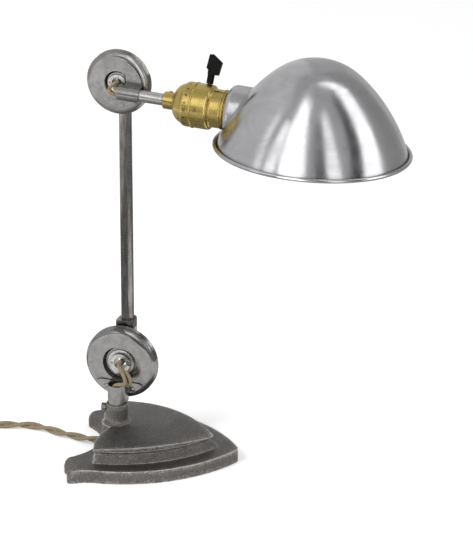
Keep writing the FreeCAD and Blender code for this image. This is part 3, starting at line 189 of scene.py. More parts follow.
def tube(path, radius, sides, up):
    """Tube: path(s) + radius(s) (cos a side(s) + sin a rise(s)), a from 0 to 2 pi, with flat ends.

    Its UV map holds a / 2 pi, up to the seam and back, and the length along the path."""
    side, rise = side_frame(path, up)
    turn = np.linspace(0, 2 * np.pi, sides, endpoint=False)
    ring = (np.cos(turn)[None, :, None] * side[:, None, :]
            + np.sin(turn)[None, :, None] * rise[:, None, :])
    radius = np.broadcast_to(np.asarray(radius, float), len(path))
    points = path[:, None, :] + radius[:, None, None] * ring
    around = np.abs(np.linspace(-1, 1, sides, endpoint=False))
    along = length_along(path)
    uv = np.stack(np.broadcast_arrays(around[None, :], along[:, None]), axis=-1)
    faces = grid_faces(len(path), sides, True).tolist()
    faces.append(list(range(sides))[::-1])
    faces.append(list(range((len(path) - 1) * sides, len(path) * sides)))
    return points.reshape(-1, 3), faces, uv.reshape(-1, 2)


def joined(parts):
    """Several (points, faces, uv) as one, with the later ones' faces counted on."""
    points, faces, uv, before = [], [], [], 0
    for some_points, some_faces, some_uv in parts:
        points.append(some_points)
        faces += [[corner + before for corner in face] for face in some_faces]
        uv.append(some_uv)
        before += len(some_points)
    return np.concatenate(points), faces, np.concatenate(uv)


def spline_curve(name, points, resolution):
    """A curve object of one open NURBS spline with these control points."""
    curve = bpy.data.curves.new(name, "CURVE")
    curve.dimensions = "3D"
    curve.resolution_u = resolution
    spline = curve.splines.new("NURBS")
    spline.points.add(len(points) - 1)
    homogeneous = np.column_stack((points, np.ones(len(points)))).astype(np.float32)
    spline.points.foreach_set("co", homogeneous.ravel())
    spline.order_u = 3
    spline.use_endpoint_u = True
    return add_object(name, curve)


def line_of(name, points, resolution=8):
    """The points that the NURBS spline itself passes through, read from the bare curve."""
    made = spline_curve(name, points, resolution)
    bpy.context.view_layer.update()
    mesh = bpy.data.meshes.new_from_object(made)
    line = np.empty(len(mesh.vertices) * 3, np.float32)
    mesh.vertices.foreach_get("co", line)
    curve = made.data
    bpy.data.objects.remove(made)
    bpy.data.curves.remove(curve)
    bpy.data.meshes.remove(mesh)
    return line.reshape(-1, 3).astype(float)


# ---------------------------------------------------------------- shader nodes


def put(tree, kind, ins=None, **settings):
    """Adds one node; ins holds its inputs by name or number, as values or other nodes' outputs."""
    node = tree.nodes.new(kind)
    for name, value in settings.items():
        setattr(node, name, value)
    for key, value in (ins or {}).items():
        if isinstance(value, bpy.types.NodeSocket):
            tree.links.new(value, node.inputs[key])
        else:
            node.inputs[key].default_value = value
    return node


def calc(tree, operation, *values, clamp=False):
    ins = dict(enumerate(values))
    return put(tree, "ShaderNodeMath", ins, operation=operation, use_clamp=clamp).outputs[0]


def blend(tree, factor, first, second, how="MIX"):
    """Mix of two colours; a plain colour is given as three numbers."""
    ins = {0: factor, 6: rgba(first), 7: rgba(second)}
    node = put(tree, "ShaderNodeMix", ins, data_type="RGBA", blend_type=how, clamp_result=True)
    return node.outputs[2]


def rgba(value):
    return value if isinstance(value, bpy.types.NodeSocket) else (*value, 1.0)


def tinted(tree, base, tint, mask, share):
    """The base colour with the tint over it where the mask is 1, up to this share."""
    return blend(tree, calc(tree, "MULTIPLY", mask, share), base, tint)


def scaled(tint, share, lift=0.0):
    """The colour with each part times the share and raised by the lift, and no part over 1."""
    return tuple(min(1.0, lift + share * part) for part in tint)


def span(tree, value, low, high, to_low=0.0, to_high=1.0):
    """Value from low to high, carried to to_low to to_high with soft ends."""
    node = put(tree, "ShaderNodeMapRange", {0: value, 1: low, 2: high, 3: to_low, 4: to_high},
               interpolation_type="SMOOTHSTEP")
    return node.outputs[0]


def noise(tree, vector, scale, detail=3.0, rough=0.55, distortion=0.0):
    node = put(tree, "ShaderNodeTexNoise", {"Vector": vector, "Scale": scale, "Detail": detail,
                                            "Roughness": rough, "Distortion": distortion})
    return node.outputs[0]


def new_group(name, inputs, outputs):
    """An empty node group with sockets of these names and defaults; a tuple of three is a vector."""
    group = bpy.data.node_groups.new(name, "ShaderNodeTree")
    for label, value in inputs.items():
        kind = "NodeSocketVector" if isinstance(value, tuple) else "NodeSocketFloat"
        socket = group.interface.new_socket(label, in_out="INPUT", socket_type=kind)
        socket.default_value = value
    for label in outputs:
        group.interface.new_socket(label, in_out="OUTPUT", socket_type="NodeSocketFloat")
    inside = group.nodes.new("NodeGroupInput")
    result = group.nodes.new("NodeGroupOutput")
    return group, inside.outputs, result.inputs


def worn_and_highlit_edges_group():
    """Edge: how far the normal, rounded over Reach, turns from the face's own, broken by noise; edges
    made paler by it are rubbed wear and a painted highlight.
    """
    group, given, gives = new_group("worn edges", {"Vector": (0.0, 0.0, 0.0), "Reach": 0.0008,
                                                   "Break": 300.0}, ["Edge"])
    rounded = put(group, "ShaderNodeBevel", {"Radius": given["Reach"]}, samples=6).outputs[0]
    plain = put(group, "ShaderNodeNewGeometry").outputs["Normal"]
    dot = put(group, "ShaderNodeVectorMath", {0: rounded, 1: plain}, operation="DOT_PRODUCT")
    bend = span(group, calc(group, "SUBTRACT", 1.0, dot.outputs["Value"]), 0.01, 0.16)
    rub = span(group, noise(group, given["Vector"], given["Break"], 4.0), 0.28, 0.56)
    group.links.new(calc(group, "MULTIPLY", bend, rub), gives["Edge"])
    return group


def crevice_grime_and_shade_group():
    """Grime and painted shade: how much of the half sphere over a point is closed off within Reach,
    broken by noise; it darkens corners and recesses where shade falls.
    """
    group, given, gives = new_group("crevice", {"Vector": (0.0, 0.0, 0.0), "Reach": 0.004,
                                                "Break": 350.0}, ["Grime"])
    open_share = put(group, "ShaderNodeAmbientOcclusion", {"Distance": given["Reach"]},
                     samples=6).outputs["AO"]
    closed = span(group, calc(group, "SUBTRACT", 1.0, open_share), 0.08, 0.55)
    patchy = span(group, noise(group, given["Vector"], given["Break"], 3.0), 0.2, 0.6, 0.6, 1.0)
    group.links.new(calc(group, "MULTIPLY", closed, patchy), gives["Grime"])
    return group


def mottle_group():
    """Patch: broad clouds. Speck: small pits inside them. Both from 0 to 1."""
    group, given, gives = new_group("mottle", {"Vector": (0.0, 0.0, 0.0), "Patch Scale": 40.0,
                                               "Speck Scale": 600.0}, ["Patch", "Speck"])
    cloud = noise(group, given["Vector"], given["Patch Scale"], 5.0, 0.6, 0.6)
    pits = noise(group, given["Vector"], given["Speck Scale"], 3.0, 0.6)
    group.links.new(span(group, cloud, 0.34, 0.66), gives["Patch"])
    group.links.new(span(group, pits, 0.40, 0.68), gives["Speck"])
    return group


def ring_lines_group():
    """Lines: noise of the distance from the Z axis and of the height, which hardly turns with it.
    Bands: the same, far broader."""
    group, given, gives = new_group("ring lines", {"Vector": (0.0, 0.0, 0.0), "Fineness": 1500.0,
                                                   "Drift": 1.5}, ["Lines", "Bands"])
    parts = put(group, "ShaderNodeSeparateXYZ", {0: given["Vector"]}).outputs
    radius = calc(group, "SQRT", calc(group, "ADD", calc(group, "MULTIPLY", parts[0], parts[0]),
                                      calc(group, "MULTIPLY", parts[1], parts[1])))
    turn = calc(group, "DIVIDE", parts[0], calc(group, "ADD", radius, 0.0001))
    drift = calc(group, "MULTIPLY", turn, given["Drift"])
    for label, share in (("Lines", 1.0), ("Bands", 0.06)):
        fine = calc(group, "MULTIPLY", given["Fineness"], share)
        lines = put(group, "ShaderNodeCombineXYZ", {0: calc(group, "MULTIPLY", radius, fine),
                                                    1: calc(group, "MULTIPLY", parts[2], fine),
                                                    2: drift}).outputs[0]
        group.links.new(span(group, noise(group, lines, 1.0, 3.0, 0.6), 0.3, 0.7), gives[label])
    return group


def brushed_group():
    """Grain: noise drawn out along Z by Stretch."""
    group, given, gives = new_group("brushed", {"Vector": (0.0, 0.0, 0.0), "Fineness": 2500.0,
                                                "Stretch": 0.03}, ["Grain"])
    parts = put(group, "ShaderNodeSeparateXYZ", {0: given["Vector"]}).outputs
    drawn = put(group, "ShaderNodeCombineXYZ", {
        0: parts[0], 1: parts[1], 2: calc(group, "MULTIPLY", parts[2], given["Stretch"])}).outputs[0]
    group.links.new(span(group, noise(group, drawn, given["Fineness"], 3.0), 0.3, 0.7),
                    gives["Grain"])
    return group


def braid_group():
    """Height: 0.5 + 0.5 sin(2 pi (u Round + v Picks)) sin(2 pi (u Round - v Picks)), threads that
    cross on the slant. Fuzz: fine noise."""
    group, given, gives = new_group("braid", {"Vector": (0.0, 0.0, 0.0), "Round": 3.0,
                                              "Picks": 420.0}, ["Height", "Fuzz"])
    parts = put(group, "ShaderNodeSeparateXYZ", {0: given["Vector"]}).outputs
    around = calc(group, "MULTIPLY", parts[0], given["Round"])
    along = calc(group, "MULTIPLY", parts[1], given["Picks"])
    waves = [calc(group, "SINE", calc(group, "MULTIPLY", calc(group, how, around, along), 2 * math.pi))
             for how in ("ADD", "SUBTRACT")]
    threads = calc(group, "MULTIPLY_ADD", calc(group, "MULTIPLY", *waves), 0.5, 0.5)
    group.links.new(threads, gives["Height"])
    here = put(group, "ShaderNodeTexCoord").outputs["Object"]
    group.links.new(noise(group, here, 2600.0, 2.0), gives["Fuzz"])
    return group


GROUP_MAKERS = {"worn edges": worn_and_highlit_edges_group, "crevice": crevice_grime_and_shade_group, "mottle": mottle_group,
                "ring lines": ring_lines_group, "brushed": brushed_group, "braid": braid_group}
GROUPS = {}


def group_node(tree, name, ins):
    """One of the shared groups, built when it is first used, with this material's own values."""
    if name not in GROUPS:
        GROUPS[name] = GROUP_MAKERS[name]()
    return put(tree, "ShaderNodeGroup", ins, node_tree=GROUPS[name]).outputs


# Mask of edges made paler: rubbed wear and a painted highlight.
def edge_mask(tree, here, reach, broken):
    return group_node(tree, "worn edges", {"Vector": here, "Reach": reach, "Break": broken})["Edge"]


# Painted shade with some grime: 1 where corners and recesses close over a point.
def grime_and_shade_mask(tree, here, reach, broken):
    return group_node(tree, "crevice", {"Vector": here, "Reach": reach, "Break": broken})["Grime"]


def mottle_masks(tree, here, patch, speck):
    return group_node(tree, "mottle", {"Vector": here, "Patch Scale": patch, "Speck Scale": speck})


def new_material(name, **plain):
    """A material of one Principled BSDF; plain values go straight on the shader's sockets."""
    made = bpy.data.materials.new(name)
    made.use_nodes = True
    tree = made.node_tree
    shader = tree.nodes["Principled BSDF"]
    for label, value in plain.items():
        shader.inputs[label.replace("_", " ").title().replace("Ior", "IOR")].default_value = value
    here = put(tree, "ShaderNodeTexCoord").outputs["Object"]
    return made, tree, shader, here


def about(tree, here, centre, way):
    """Object coordinates centred on a point, with Z along a direction."""
    turn = Vector(way).to_track_quat("Z", "Y").to_euler()
    node = put(tree, "ShaderNodeMapping", {"Vector": here, "Location": tuple(centre),
                                           "Rotation": tuple(turn)}, vector_type="TEXTURE")
    return node.outputs[0]


def relief(tree, shader, height, depth):
    bump = put(tree, "ShaderNodeBump", {"Height": height, "Distance": depth, "Strength": 1.0})
    tree.links.new(bump.outputs[0], shader.inputs["Normal"])


def iron_material():
    """Brushed, worn cast iron: dark in the pits, with painted shade in the corners and the cove, pale
    where edges are rubbed and with a painted highlight along them, and a painted speckled sheen beside
    them."""
    made, tree, shader, here = new_material("cast iron", metallic=0.9)
    mottle = mottle_masks(tree, here, 34.0, 760.0)
    edge = edge_mask(tree, here, 0.0024, 220.0)
    sheen_halo = edge_mask(tree, here, 0.0090, 130.0)
    grime_and_shade = grime_and_shade_mask(tree, here, 0.003, 200.0)
    brushed = group_node(tree, "brushed", {"Vector": about(tree, here, (0, 0, 0), (0.25, 1, 0.05)),
                                           "Fineness": 1700.0, "Stretch": 0.05})["Grain"]
    tone = colours()
    base = tinted(tree, tone.iron, tone.iron_dark, mottle["Patch"], 0.40)
    base = tinted(tree, base, tone.iron_worn_and_sheen, mottle["Speck"], 0.10)
    base = tinted(tree, base, tone.iron_worn_and_sheen, brushed, 0.08)
    # Painted sheen: speckled pale iron in a broad band beside the edges, standing in for light on the
    # curved faces.
    speckled_sheen = calc(tree, "MULTIPLY", sheen_halo, calc(tree, "MULTIPLY_ADD", mottle["Speck"], 0.6, 0.05))
    base = blend(tree, speckled_sheen, base, tone.iron_worn_and_sheen)
    # Painted shade: darker iron where corners and the cove close over a point, with some grime.
    base = tinted(tree, base, tone.iron_dark, grime_and_shade, 0.6)
    # Edges paler: rubbed wear and a painted highlight along them.
    base = blend(tree, edge, base, tone.iron_worn_and_sheen)
    tree.links.new(base, shader.inputs["Base Color"])
    rough = calc(tree, "MULTIPLY_ADD", mottle["Speck"], -0.10, 0.34)
    rough = calc(tree, "MULTIPLY_ADD", brushed, 0.10, rough)
    tree.links.new(rough, shader.inputs["Roughness"])
    height = calc(tree, "MULTIPLY_ADD", mottle["Speck"], 0.6, calc(tree, "MULTIPLY", brushed, 0.3))
    relief(tree, shader, height, 0.00028)
    return made


def steel_material(name, centre, way, light, wear=0.22, rough=0.11, drawn=False):
    """Worn steel turned or drawn about one axis: patina clouds, fine lines, edges rubbed bright with a
    painted highlight along them, and painted shade in the corners."""
    made, tree, shader, here = new_material(name, metallic=1.0)
    dark = colours().steel_dark
    turned = about(tree, here, centre, way)
    mottle = mottle_masks(tree, here, 130.0, 1700.0)
    streak = {"Vector": turned, "Fineness": 420.0, "Stretch": 0.16}
    cloud = group_node(tree, "brushed", streak)["Grain"] if drawn else mottle["Patch"]
    edge = edge_mask(tree, here, 0.0007, 500.0)
    grime_and_shade = grime_and_shade_mask(tree, here, 0.003, 500.0)
    lines = group_node(tree, "ring lines", {"Vector": turned, "Fineness": 1800.0, "Drift": 1.2})
    base = tinted(tree, light, dark, cloud, wear)
    base = tinted(tree, base, dark, mottle["Speck"], 0.16)
    base = tinted(tree, base, dark, lines["Lines"], 0.14)
    # Painted shade: darker steel where corners close over a point, with some grime.
    base = tinted(tree, base, dark, grime_and_shade, 0.85)
    # Edges paler: rubbed wear and a painted highlight.
    base = tinted(tree, base, colours().bright, edge, 0.85)
    tree.links.new(base, shader.inputs["Base Color"])
    spread = calc(tree, "MULTIPLY_ADD", cloud, 0.12, rough)
    spread = calc(tree, "MULTIPLY_ADD", lines["Lines"], 0.07, spread)
    tree.links.new(spread, shader.inputs["Roughness"])
    height = calc(tree, "MULTIPLY_ADD", mottle["Speck"], 0.4, lines["Lines"])
    relief(tree, shader, height, 0.00002)
    return made


def spun_material():
    """Spun and polished steel: fine rings about the dome's axis and soft clouds."""
    made, tree, shader, here = new_material("spun steel", metallic=1.0)
    turned = about(tree, here, DOME_HUB, DOME_WAY)
    lines = group_node(tree, "ring lines", {"Vector": turned, "Fineness": 1700.0, "Drift": 0.8})
    mottle = mottle_masks(tree, here, 30.0, 900.0)
    grime_and_shade = grime_and_shade_mask(tree, here, 0.004, 400.0)
    tone = colours()
    dull = scaled(tone.spun, 0.55)
    base = tinted(tree, tone.spun, dull, mottle["Patch"], 0.28)
    base = tinted(tree, base, dull, lines["Bands"], 0.12)
    base = tinted(tree, base, dull, lines["Lines"], 0.10)
    # Painted shade: darker steel where corners close over a point, with some grime.
    base = tinted(tree, base, tone.steel_dark, grime_and_shade, 0.7)
    tree.links.new(base, shader.inputs["Base Color"])
    rough = calc(tree, "MULTIPLY_ADD", mottle["Patch"], 0.07, 0.13)
    rough = calc(tree, "MULTIPLY_ADD", lines["Lines"], 0.05, rough)
    tree.links.new(rough, shader.inputs["Roughness"])
    height = calc(tree, "MULTIPLY_ADD", lines["Bands"], 1.5, lines["Lines"])
    relief(tree, shader, height, 0.000008)
    return made


def brass_material(name, rough):
    """Brass turned about the shade arm's line, with tarnish in clouds and specks, painted shade in the
    corners, and edges made paler by wear and a painted highlight.
    """
    made, tree, shader, here = new_material(name, metallic=1.0)
    light, dark = colours().brass, colours().brass_dark
    turned = about(tree, here, ARM_START, ARM_WAY)
    lines = group_node(tree, "ring lines", {"Vector": turned, "Fineness": 1600.0, "Drift": 1.0})
    mottle = mottle_masks(tree, here, 120.0, 1500.0)
    edge = edge_mask(tree, here, 0.0006, 700.0)
    base = tinted(tree, light, dark, mottle["Patch"], 0.16)
    base = tinted(tree, base, dark, mottle["Speck"], 0.10)
    grime_and_shade = grime_and_shade_mask(tree, here, 0.0025, 600.0)
    # Painted shade: darker brass where corners close over a point, with some grime.
    base = tinted(tree, base, dark, grime_and_shade, 0.85)
    # Edges paler: rubbed wear and a painted highlight.
    base = tinted(tree, base, scaled(light, 1.3), edge, 0.5)
    tree.links.new(base, shader.inputs["Base Color"])
    spread = calc(tree, "MULTIPLY_ADD", mottle["Patch"], 0.10, rough)
    spread = calc(tree, "MULTIPLY_ADD", lines["Lines"], 0.08, spread)
    tree.links.new(spread, shader.inputs["Roughness"])
    relief(tree, shader, calc(tree, "MULTIPLY_ADD", mottle["Speck"], 0.4, lines["Lines"]), 0.000007)
    return made


def cloth_material():
    """Waxed cloth braid, read from the tube's own UV map."""
    made, tree, shader, _ = new_material("cloth braid", sheen_weight=0.25, sheen_roughness=0.4)
    uv = put(tree, "ShaderNodeUVMap", uv_map="along").outputs[0]
    braid = group_node(tree, "braid", {"Vector": uv, "Round": 3.0, "Picks": 430.0})
    tone = colours()
    base = blend(tree, span(tree, braid["Height"], 0.15, 0.75), tone.cloth_dark, tone.cloth)
    base = tinted(tree, base, tone.cloth_dark, braid["Fuzz"], 0.35)
    tree.links.new(base, shader.inputs["Base Color"])
    tree.links.new(calc(tree, "MULTIPLY_ADD", braid["Fuzz"], 0.2, 0.68), shader.inputs["Roughness"])
    relief(tree, shader, calc(tree, "MULTIPLY_ADD", braid["Fuzz"], 0.4, braid["Height"]), 0.00025)
    return made


def moulded_material(name, tint, rough, wear, gloss):
    """Moulded or fired insulation: faint clouds and specks, paler along its edges from wear and a
    painted highlight.
    """
    made, tree, shader, here = new_material(name, specular_ior_level=gloss)
    mottle = mottle_masks(tree, here, 150.0, 1800.0)
    edge = edge_mask(tree, here, 0.0006, 600.0)
    pale = scaled(tint, 1.6, 0.05)
    base = tinted(tree, tint, scaled(tint, 0.7), mottle["Patch"], 0.3)
    # Edges paler: rubbed wear and a painted highlight.
    base = tinted(tree, base, pale, edge, wear)
    tree.links.new(base, shader.inputs["Base Color"])
    tree.links.new(calc(tree, "MULTIPLY_ADD", mottle["Speck"], 0.12, rough), shader.inputs["Roughness"])
    relief(tree, shader, mottle["Speck"], 0.00002)
    return made


UP, ACROSS = (0, 0, 1), (0, 1, 0)
UPRIGHT_FOOT = (0, 0.029, 0)
# Each steel's axis, by a point and a direction, its colour, and what departs from plain steel.
STEELS = {
    "lower joint steel": (LOWER_JOINT, ACROSS, "steel", {}),
    "upper joint steel": (UPPER_JOINT, ACROSS, "steel", {}),
    "stem steel": ((0, 0, 0), UP, "steel", {}),
    "tube steel": (UPRIGHT_FOOT, UP, "tube", {"wear": 0.6, "drawn": True}),
    "shade arm steel": (ARM_START, ARM_WAY, "bright", {"wear": 0.3, "drawn": True}),
    "lower turned steel": (LOWER_JOINT, ACROSS, "bright", {"rough": 0.16}),
    "upper turned steel": (UPPER_JOINT, ACROSS, "bright", {"rough": 0.16}),
}
BRASSES = {"satin brass": 0.17, "plain brass": 0.36}  # roughness
# Colour, roughness, wear and painted highlight along the edges, and gloss of what is moulded or fired.
MOULDED = {
    "moulded black": ("black", 0.26, 0.2, 0.08),
    "plug black": ("black", 0.34, 0.5, 0.5),
    "porcelain": ("porcelain", 0.12, 0.2, 0.5),
    "hard fibre": ("fibre", 0.5, 0.4, 0.5),
}
OTHER_COATS = {"cast iron": iron_material, "spun steel": spun_material, "cloth braid": cloth_material}
COATS = {}


def new_coat(name):
    tone = colours()
    if name in STEELS:
        centre, way, tint, changes = STEELS[name]
        return steel_material(name, centre, way, getattr(tone, tint), **changes)
    if name in BRASSES:
        return brass_material(name, BRASSES[name])
    if name in MOULDED:
        tint, rough, wear, gloss = MOULDED[name]
        return moulded_material(name, getattr(tone, tint), rough, wear, gloss)
    return OTHER_COATS[name]()


def coat(name):
    """A finish by its material's name, made when it is first used."""
    if name not in COATS:
        COATS[name] = new_coat(name)
    return COATS[name]


def dress(name, *nodes):
    """Gives CAD nodes a finish and leaves their shape."""
    for node in nodes:
        slots = NODES[node].data.materials
        slots.clear()
        slots.append(coat(name))


# ---------------------------------------------------------------- camera


class LAMP_OT_camera(bpy.types.Operator):
    """Sets the camera at the photograph's viewing angle"""
    bl_idname = "lamp.camera"
    bl_label = "Camera"

    def execute(self, context):
        stage = context.scene.lamp_stage
        data = bpy.data.cameras.new("camera")
        data.sensor_fit = "HORIZONTAL"
        data.sensor_width = 36.0
        data.lens = stage.lens
        data.clip_end = 50.0
        camera = add_object("camera", data)
        turn = Matrix((CAMERA_RIGHT, CAMERA_UP, CAMERA_BACK)).transposed().to_4x4()
        camera.matrix_world = Matrix.Translation(CAMERA_PLACE) @ turn
        context.scene.camera = camera
        return {"FINISHED"}


# ---------------------------------------------------------------- cord


CORD_ROUTE = [
    (-0.009905, 0.003657, 0.0064), (-0.024759, 0.001569, 0.0064), (-0.0375, 0.0076, 0.0036),
    (-0.0505, 0.0092, 0.0035), (-0.066, 0.013, 0.0035), (-0.0825, 0.0168, 0.0035),
    (-0.0985, 0.0142, 0.0035), (-0.114, 0.0084, 0.0035),
]
BEFORE_COIL = (-0.146, -0.005, 0.0035)
COIL_CENTRE = (-0.191, 0.037)
COIL_ENTRY = (0.045, -0.042)  # from the coil's centre to where the cord comes from
COIL_RADIUS = 0.050
COIL_PITCH = 0.0074
LAYER_TURNS = 3.5
LAYER_RISE = 0.0073
LAYER_FOOT = 0.0035  # height of the lower layer's middle
CLIMB_TURNS = 0.25  # before and after the reversal, where the cord climbs
POINTS_PER_TURN = 20
TAIL_LENGTH = 0.050  # from the coil to the plug's nose
TAIL_BENDS = (0.016, 0.018)  # from the coil, and back from the nose
TAIL_LIFT = 0.0002  # of the tail's first point over the coil's end
NOSE_HEIGHT = 0.013
SMALL_TURN = 1e-4  # either side of a point, for the coil's direction there
CORD_STEP = 0.0026  # between the rings of the strands' tubes
STRAND_SIDES = 10
STRAND_FILL = 0.97  # of a quarter of the cord's width, so that the strands don't meet


def coil_points(turn):
    """Coil: radius = R - pitch * inward, angle = start - 2 pi turn, and one step up where it
    reverses, so the lower layer runs in and the upper one out."""
    entry = math.atan2(COIL_ENTRY[1], COIL_ENTRY[0])
    start = entry - math.acos(COIL_RADIUS / math.hypot(*COIL_ENTRY))
    past = turn - LAYER_TURNS
    share = np.clip((past + CLIMB_TURNS) / (2 * CLIMB_TURNS), 0, 1)
    rounded = LAYER_TURNS - (past ** 2 / (2 * CLIMB_TURNS) + CLIMB_TURNS / 2)
    inward = np.where(np.abs(past) < CLIMB_TURNS, rounded, LAYER_TURNS - np.abs(past))
    radius = COIL_RADIUS - COIL_PITCH * inward
    angle = start - 2 * np.pi * turn
    height = LAYER_FOOT + LAYER_RISE * share ** 2 * (3 - 2 * share)
    return np.column_stack((COIL_CENTRE[0] + radius * np.cos(angle),
                            COIL_CENTRE[1] + radius * np.sin(angle), height))


def coil_way(turn):
    """Unit direction of the coil at one turn."""
    return unit(np.diff(coil_points(turn + SMALL_TURN * np.array((-1, 1))), axis=0))[0]


def cord_points():
    """The route from the base, the put-away coil and the tail up to the plug's nose."""
    turns = np.linspace(0, 2 * LAYER_TURNS, int(2 * LAYER_TURNS * POINTS_PER_TURN) + 1)
    coil = coil_points(turns)
    way_in, way_out = coil_way(0), coil_way(2 * LAYER_TURNS)
    width = sizes().cord_width
    meet = coil[0] - way_in * width
    before = meet - way_in * np.linalg.norm(meet - np.array(BEFORE_COIL))
    nose = coil[-1] + way_out * TAIL_LENGTH
    nose[2] = NOSE_HEIGHT
    first, last = TAIL_BENDS
    tail = [coil[-1] + way_out * first + (0, 0, TAIL_LIFT), nose - way_out * last,
            nose - way_out * width, nose]
    return np.vstack((CORD_ROUTE, before, meet, coil, tail))


def strands(line, pitch, offset, radius, sides):
    """Twisted pair: each strand's line is line(s) + offset (cos f side + sin f rise), where f is
    2 pi s / pitch, half a turn apart for the two."""
    side, rise = side_frame(line, (0, 0, 1))
    phase = 2 * np.pi * length_along(line) / pitch
    parts = []
    for start in (0.0, np.pi):
        swing = np.cos(phase + start)[:, None] * side + np.sin(phase + start)[:, None] * rise
        parts.append(tube(line + offset * swing, radius, sides, (0, 0, 1)))
    return joined(parts)


def even_points(line, step):
    """The line's own points, thinned or filled to even steps along it."""
    along = length_along(line)
    marks = np.linspace(0, along[-1], int(along[-1] / step) + 1)
    return np.column_stack([np.interp(marks, along, line[:, axis]) for axis in range(3)])


class LAMP_OT_cord(bpy.types.Operator):
    """Makes the twisted cloth cord and finishes its bushing and plug"""
    bl_idname = "lamp.cord"
    bl_label = "Cord"

    def execute(self, context):
        size = sizes()
        line = even_points(line_of("cord line", cord_points()), CORD_STEP)
        quarter = size.cord_width / 4
        twisted = strands(line, size.cord_lay, quarter, quarter * STRAND_FILL, STRAND_SIDES)
        cord = piece("cord", *twisted, "base", "cord_cloth", coat("cloth braid"))
        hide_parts("flex_cord", "flex_cord_coil")
        dress("plug black", "plug_body")
        dress("plain brass", "plug_blades")
        dress("hard fibre", "cord_bushing")
        return {"FINISHED"}


# ---------------------------------------------------------------- pieces


class LAMP_OT_base(bpy.types.Operator):
    """Finishes the cast base, its set screw and the stem that turns in it"""
    bl_idname = "lamp.base"
    bl_label = "Base"

    def execute(self, context):
        dress("cast iron", "base_casting")
        dress("stem steel", "stem_set_screw", "stem_washer", "stem_locknut", "stem_tube")
        return {"FINISHED"}


class LAMP_OT_joints(bpy.types.Operator):
    """Finishes the friction joints' stampings, saddles, nuts and the upright"""
    bl_idname = "lamp.joints"
    bl_label = "Joints"

    def execute(self, context):
        dress("lower joint steel", "lower_front_disc", "lower_rear_disc", "stem_saddle",
              "stem_saddle_rivets", "arm_lower_saddle", "arm_lower_rivets", "lower_rear_washer")
        dress("upper joint steel", "upper_front_disc", "upper_rear_disc", "head_saddle",
              "arm_upper_saddle", "arm_upper_rivets", "upper_rear_washer")
        dress("tube steel", "arm_tube")
        dress("shade arm steel", "shade_arm")
        dress("lower turned steel", "lower_bushing", "lower_ring_nut", "lower_spring_washer")
        dress("upper turned steel", "upper_bushing", "upper_ring_nut", "upper_spring_washer")
        dress("hard fibre", "lower_friction_washer", "upper_friction_washer")
        return {"FINISHED"}


# Control points in millimetres, two conductors each: the stem's and the upright's in the frame's
# axes, the head's in the shade arm's own, which start at the upper joint and dip with it.
STEM_WIRES = [
    [(0, -1.65, 16), (0, -1.65, 45), (-2.6, -1.4, 59.5), (-0.5, -4.2, 65.5), (9.5, -6.2, 67.5),
     (10.5, -6, 72), (6, -5.2, 80.4), (2, -1.2, 81.9), (0, 5, 81.65), (0, 14.47, 81.65)],
    [(0, 1.65, 16), (0, 1.65, 45), (-1.2, 2.4, 59.5), (1.5, -0.2, 64.8), (13, -2.4, 66),
     (14, -2.2, 71), (9.6, -1.4, 77.6), (3.4, 0.6, 78.4), (0, 6, 78.35), (0, 14.47, 78.35)]]
ARM_WIRES = [
    [(0, 14.53, 81.65), (0, 22.5, 81.65), (0, 27.35, 86.9), (0, 27.35, 332.5),
     (0, 21.7, 337.85), (0, 15.43, 337.85)],
    [(0, 14.53, 78.35), (0, 23.8, 78.35), (0, 30.65, 85.5), (0, 30.65, 334),
     (0, 22.9, 341.15), (0, 15.43, 341.15)]]
HEAD_WIRES = [
    [(0, -0.03, 1.65), (0, -7.6, 1.65), (-2.2, -11.6, 1.0), (-3.8, -14.4, -1.8), (-3.4, -15.4, -4.8),
     (-0.4, -14.4, -6.4), (4.8, -12.6, -6.4), (12, -12.1, -6.25), (58.5, -11.9, -6.3),
     (62.2, -6.5, -7.1), (66.95, -6.4, -7.1)],
    [(0, -0.03, -1.65), (0, -8.2, -1.65), (0.4, -12.2, -2.0), (3.4, -13.0, -2.7), (7.5, -12.2, -2.95),
     (14, -12.1, -2.95), (58.5, -12.3, -2.9), (62.2, -17.7, -2.1), (66.95, -17.8, -2.1)]]


SHADE_ARM_DIP = math.radians(2.3)
WIRE_RESOLUTION = 10  # points of the curve to each control point
WIRE_STEP = 0.0008  # between the rings of a conductor's tube
WIRE_SIDES = 14


def from_head(points):
    """Points of the shade arm's own frame, in millimetres, carried to the row frame."""
    cosine, sine = math.cos(SHADE_ARM_DIP), math.sin(SHADE_ARM_DIP)
    x, y, z = np.array(points, float).T
    turned = np.column_stack((x * cosine + z * sine, y, z * cosine - x * sine))
    return turned + np.array(UPPER_JOINT) / MM


class LAMP_OT_wires(bpy.types.Operator):
    """Makes the cloth-covered conductors at the joints and inside the arms"""
    bl_idname = "lamp.wires"
    bl_label = "Wires"

    def execute(self, context):
        radius = sizes().conductor_width / 2
        head = [from_head(route) for route in HEAD_WIRES]
        for name, routes, body, up in (("stem_wires", STEM_WIRES, "stem", (0.35, 1, 0.1)),
                                       ("arm_wires", ARM_WIRES, "arm", (1, 0, 0)),
                                       ("head_wires", head, "head", (0.2, 0.5, 1))):
            parts = []
            for route in routes:
                line = line_of(name, np.array(route) * MM, WIRE_RESOLUTION)
                parts.append(tube(even_points(line, WIRE_STEP), radius, WIRE_SIDES, up))
            made = piece(name.replace("_", "-"), *joined(parts), body, "cord_cloth",
                         coat("cloth braid"))
            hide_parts(name)
        return {"FINISHED"}


class LAMP_OT_socket(bpy.types.Operator):
    """Finishes the brass key socket and what it holds"""
    bl_idname = "lamp.socket"
    bl_label = "Socket"

    def execute(self, context):
        dress("satin brass", "socket_cap", "socket_shell", "cap_set_screw")
        dress("plain brass", "screw_shell", "centre_contact", "terminal_screws", "shade_ring")
        dress("hard fibre", "socket_liner")
        dress("porcelain", "socket_body")
        return {"FINISHED"}


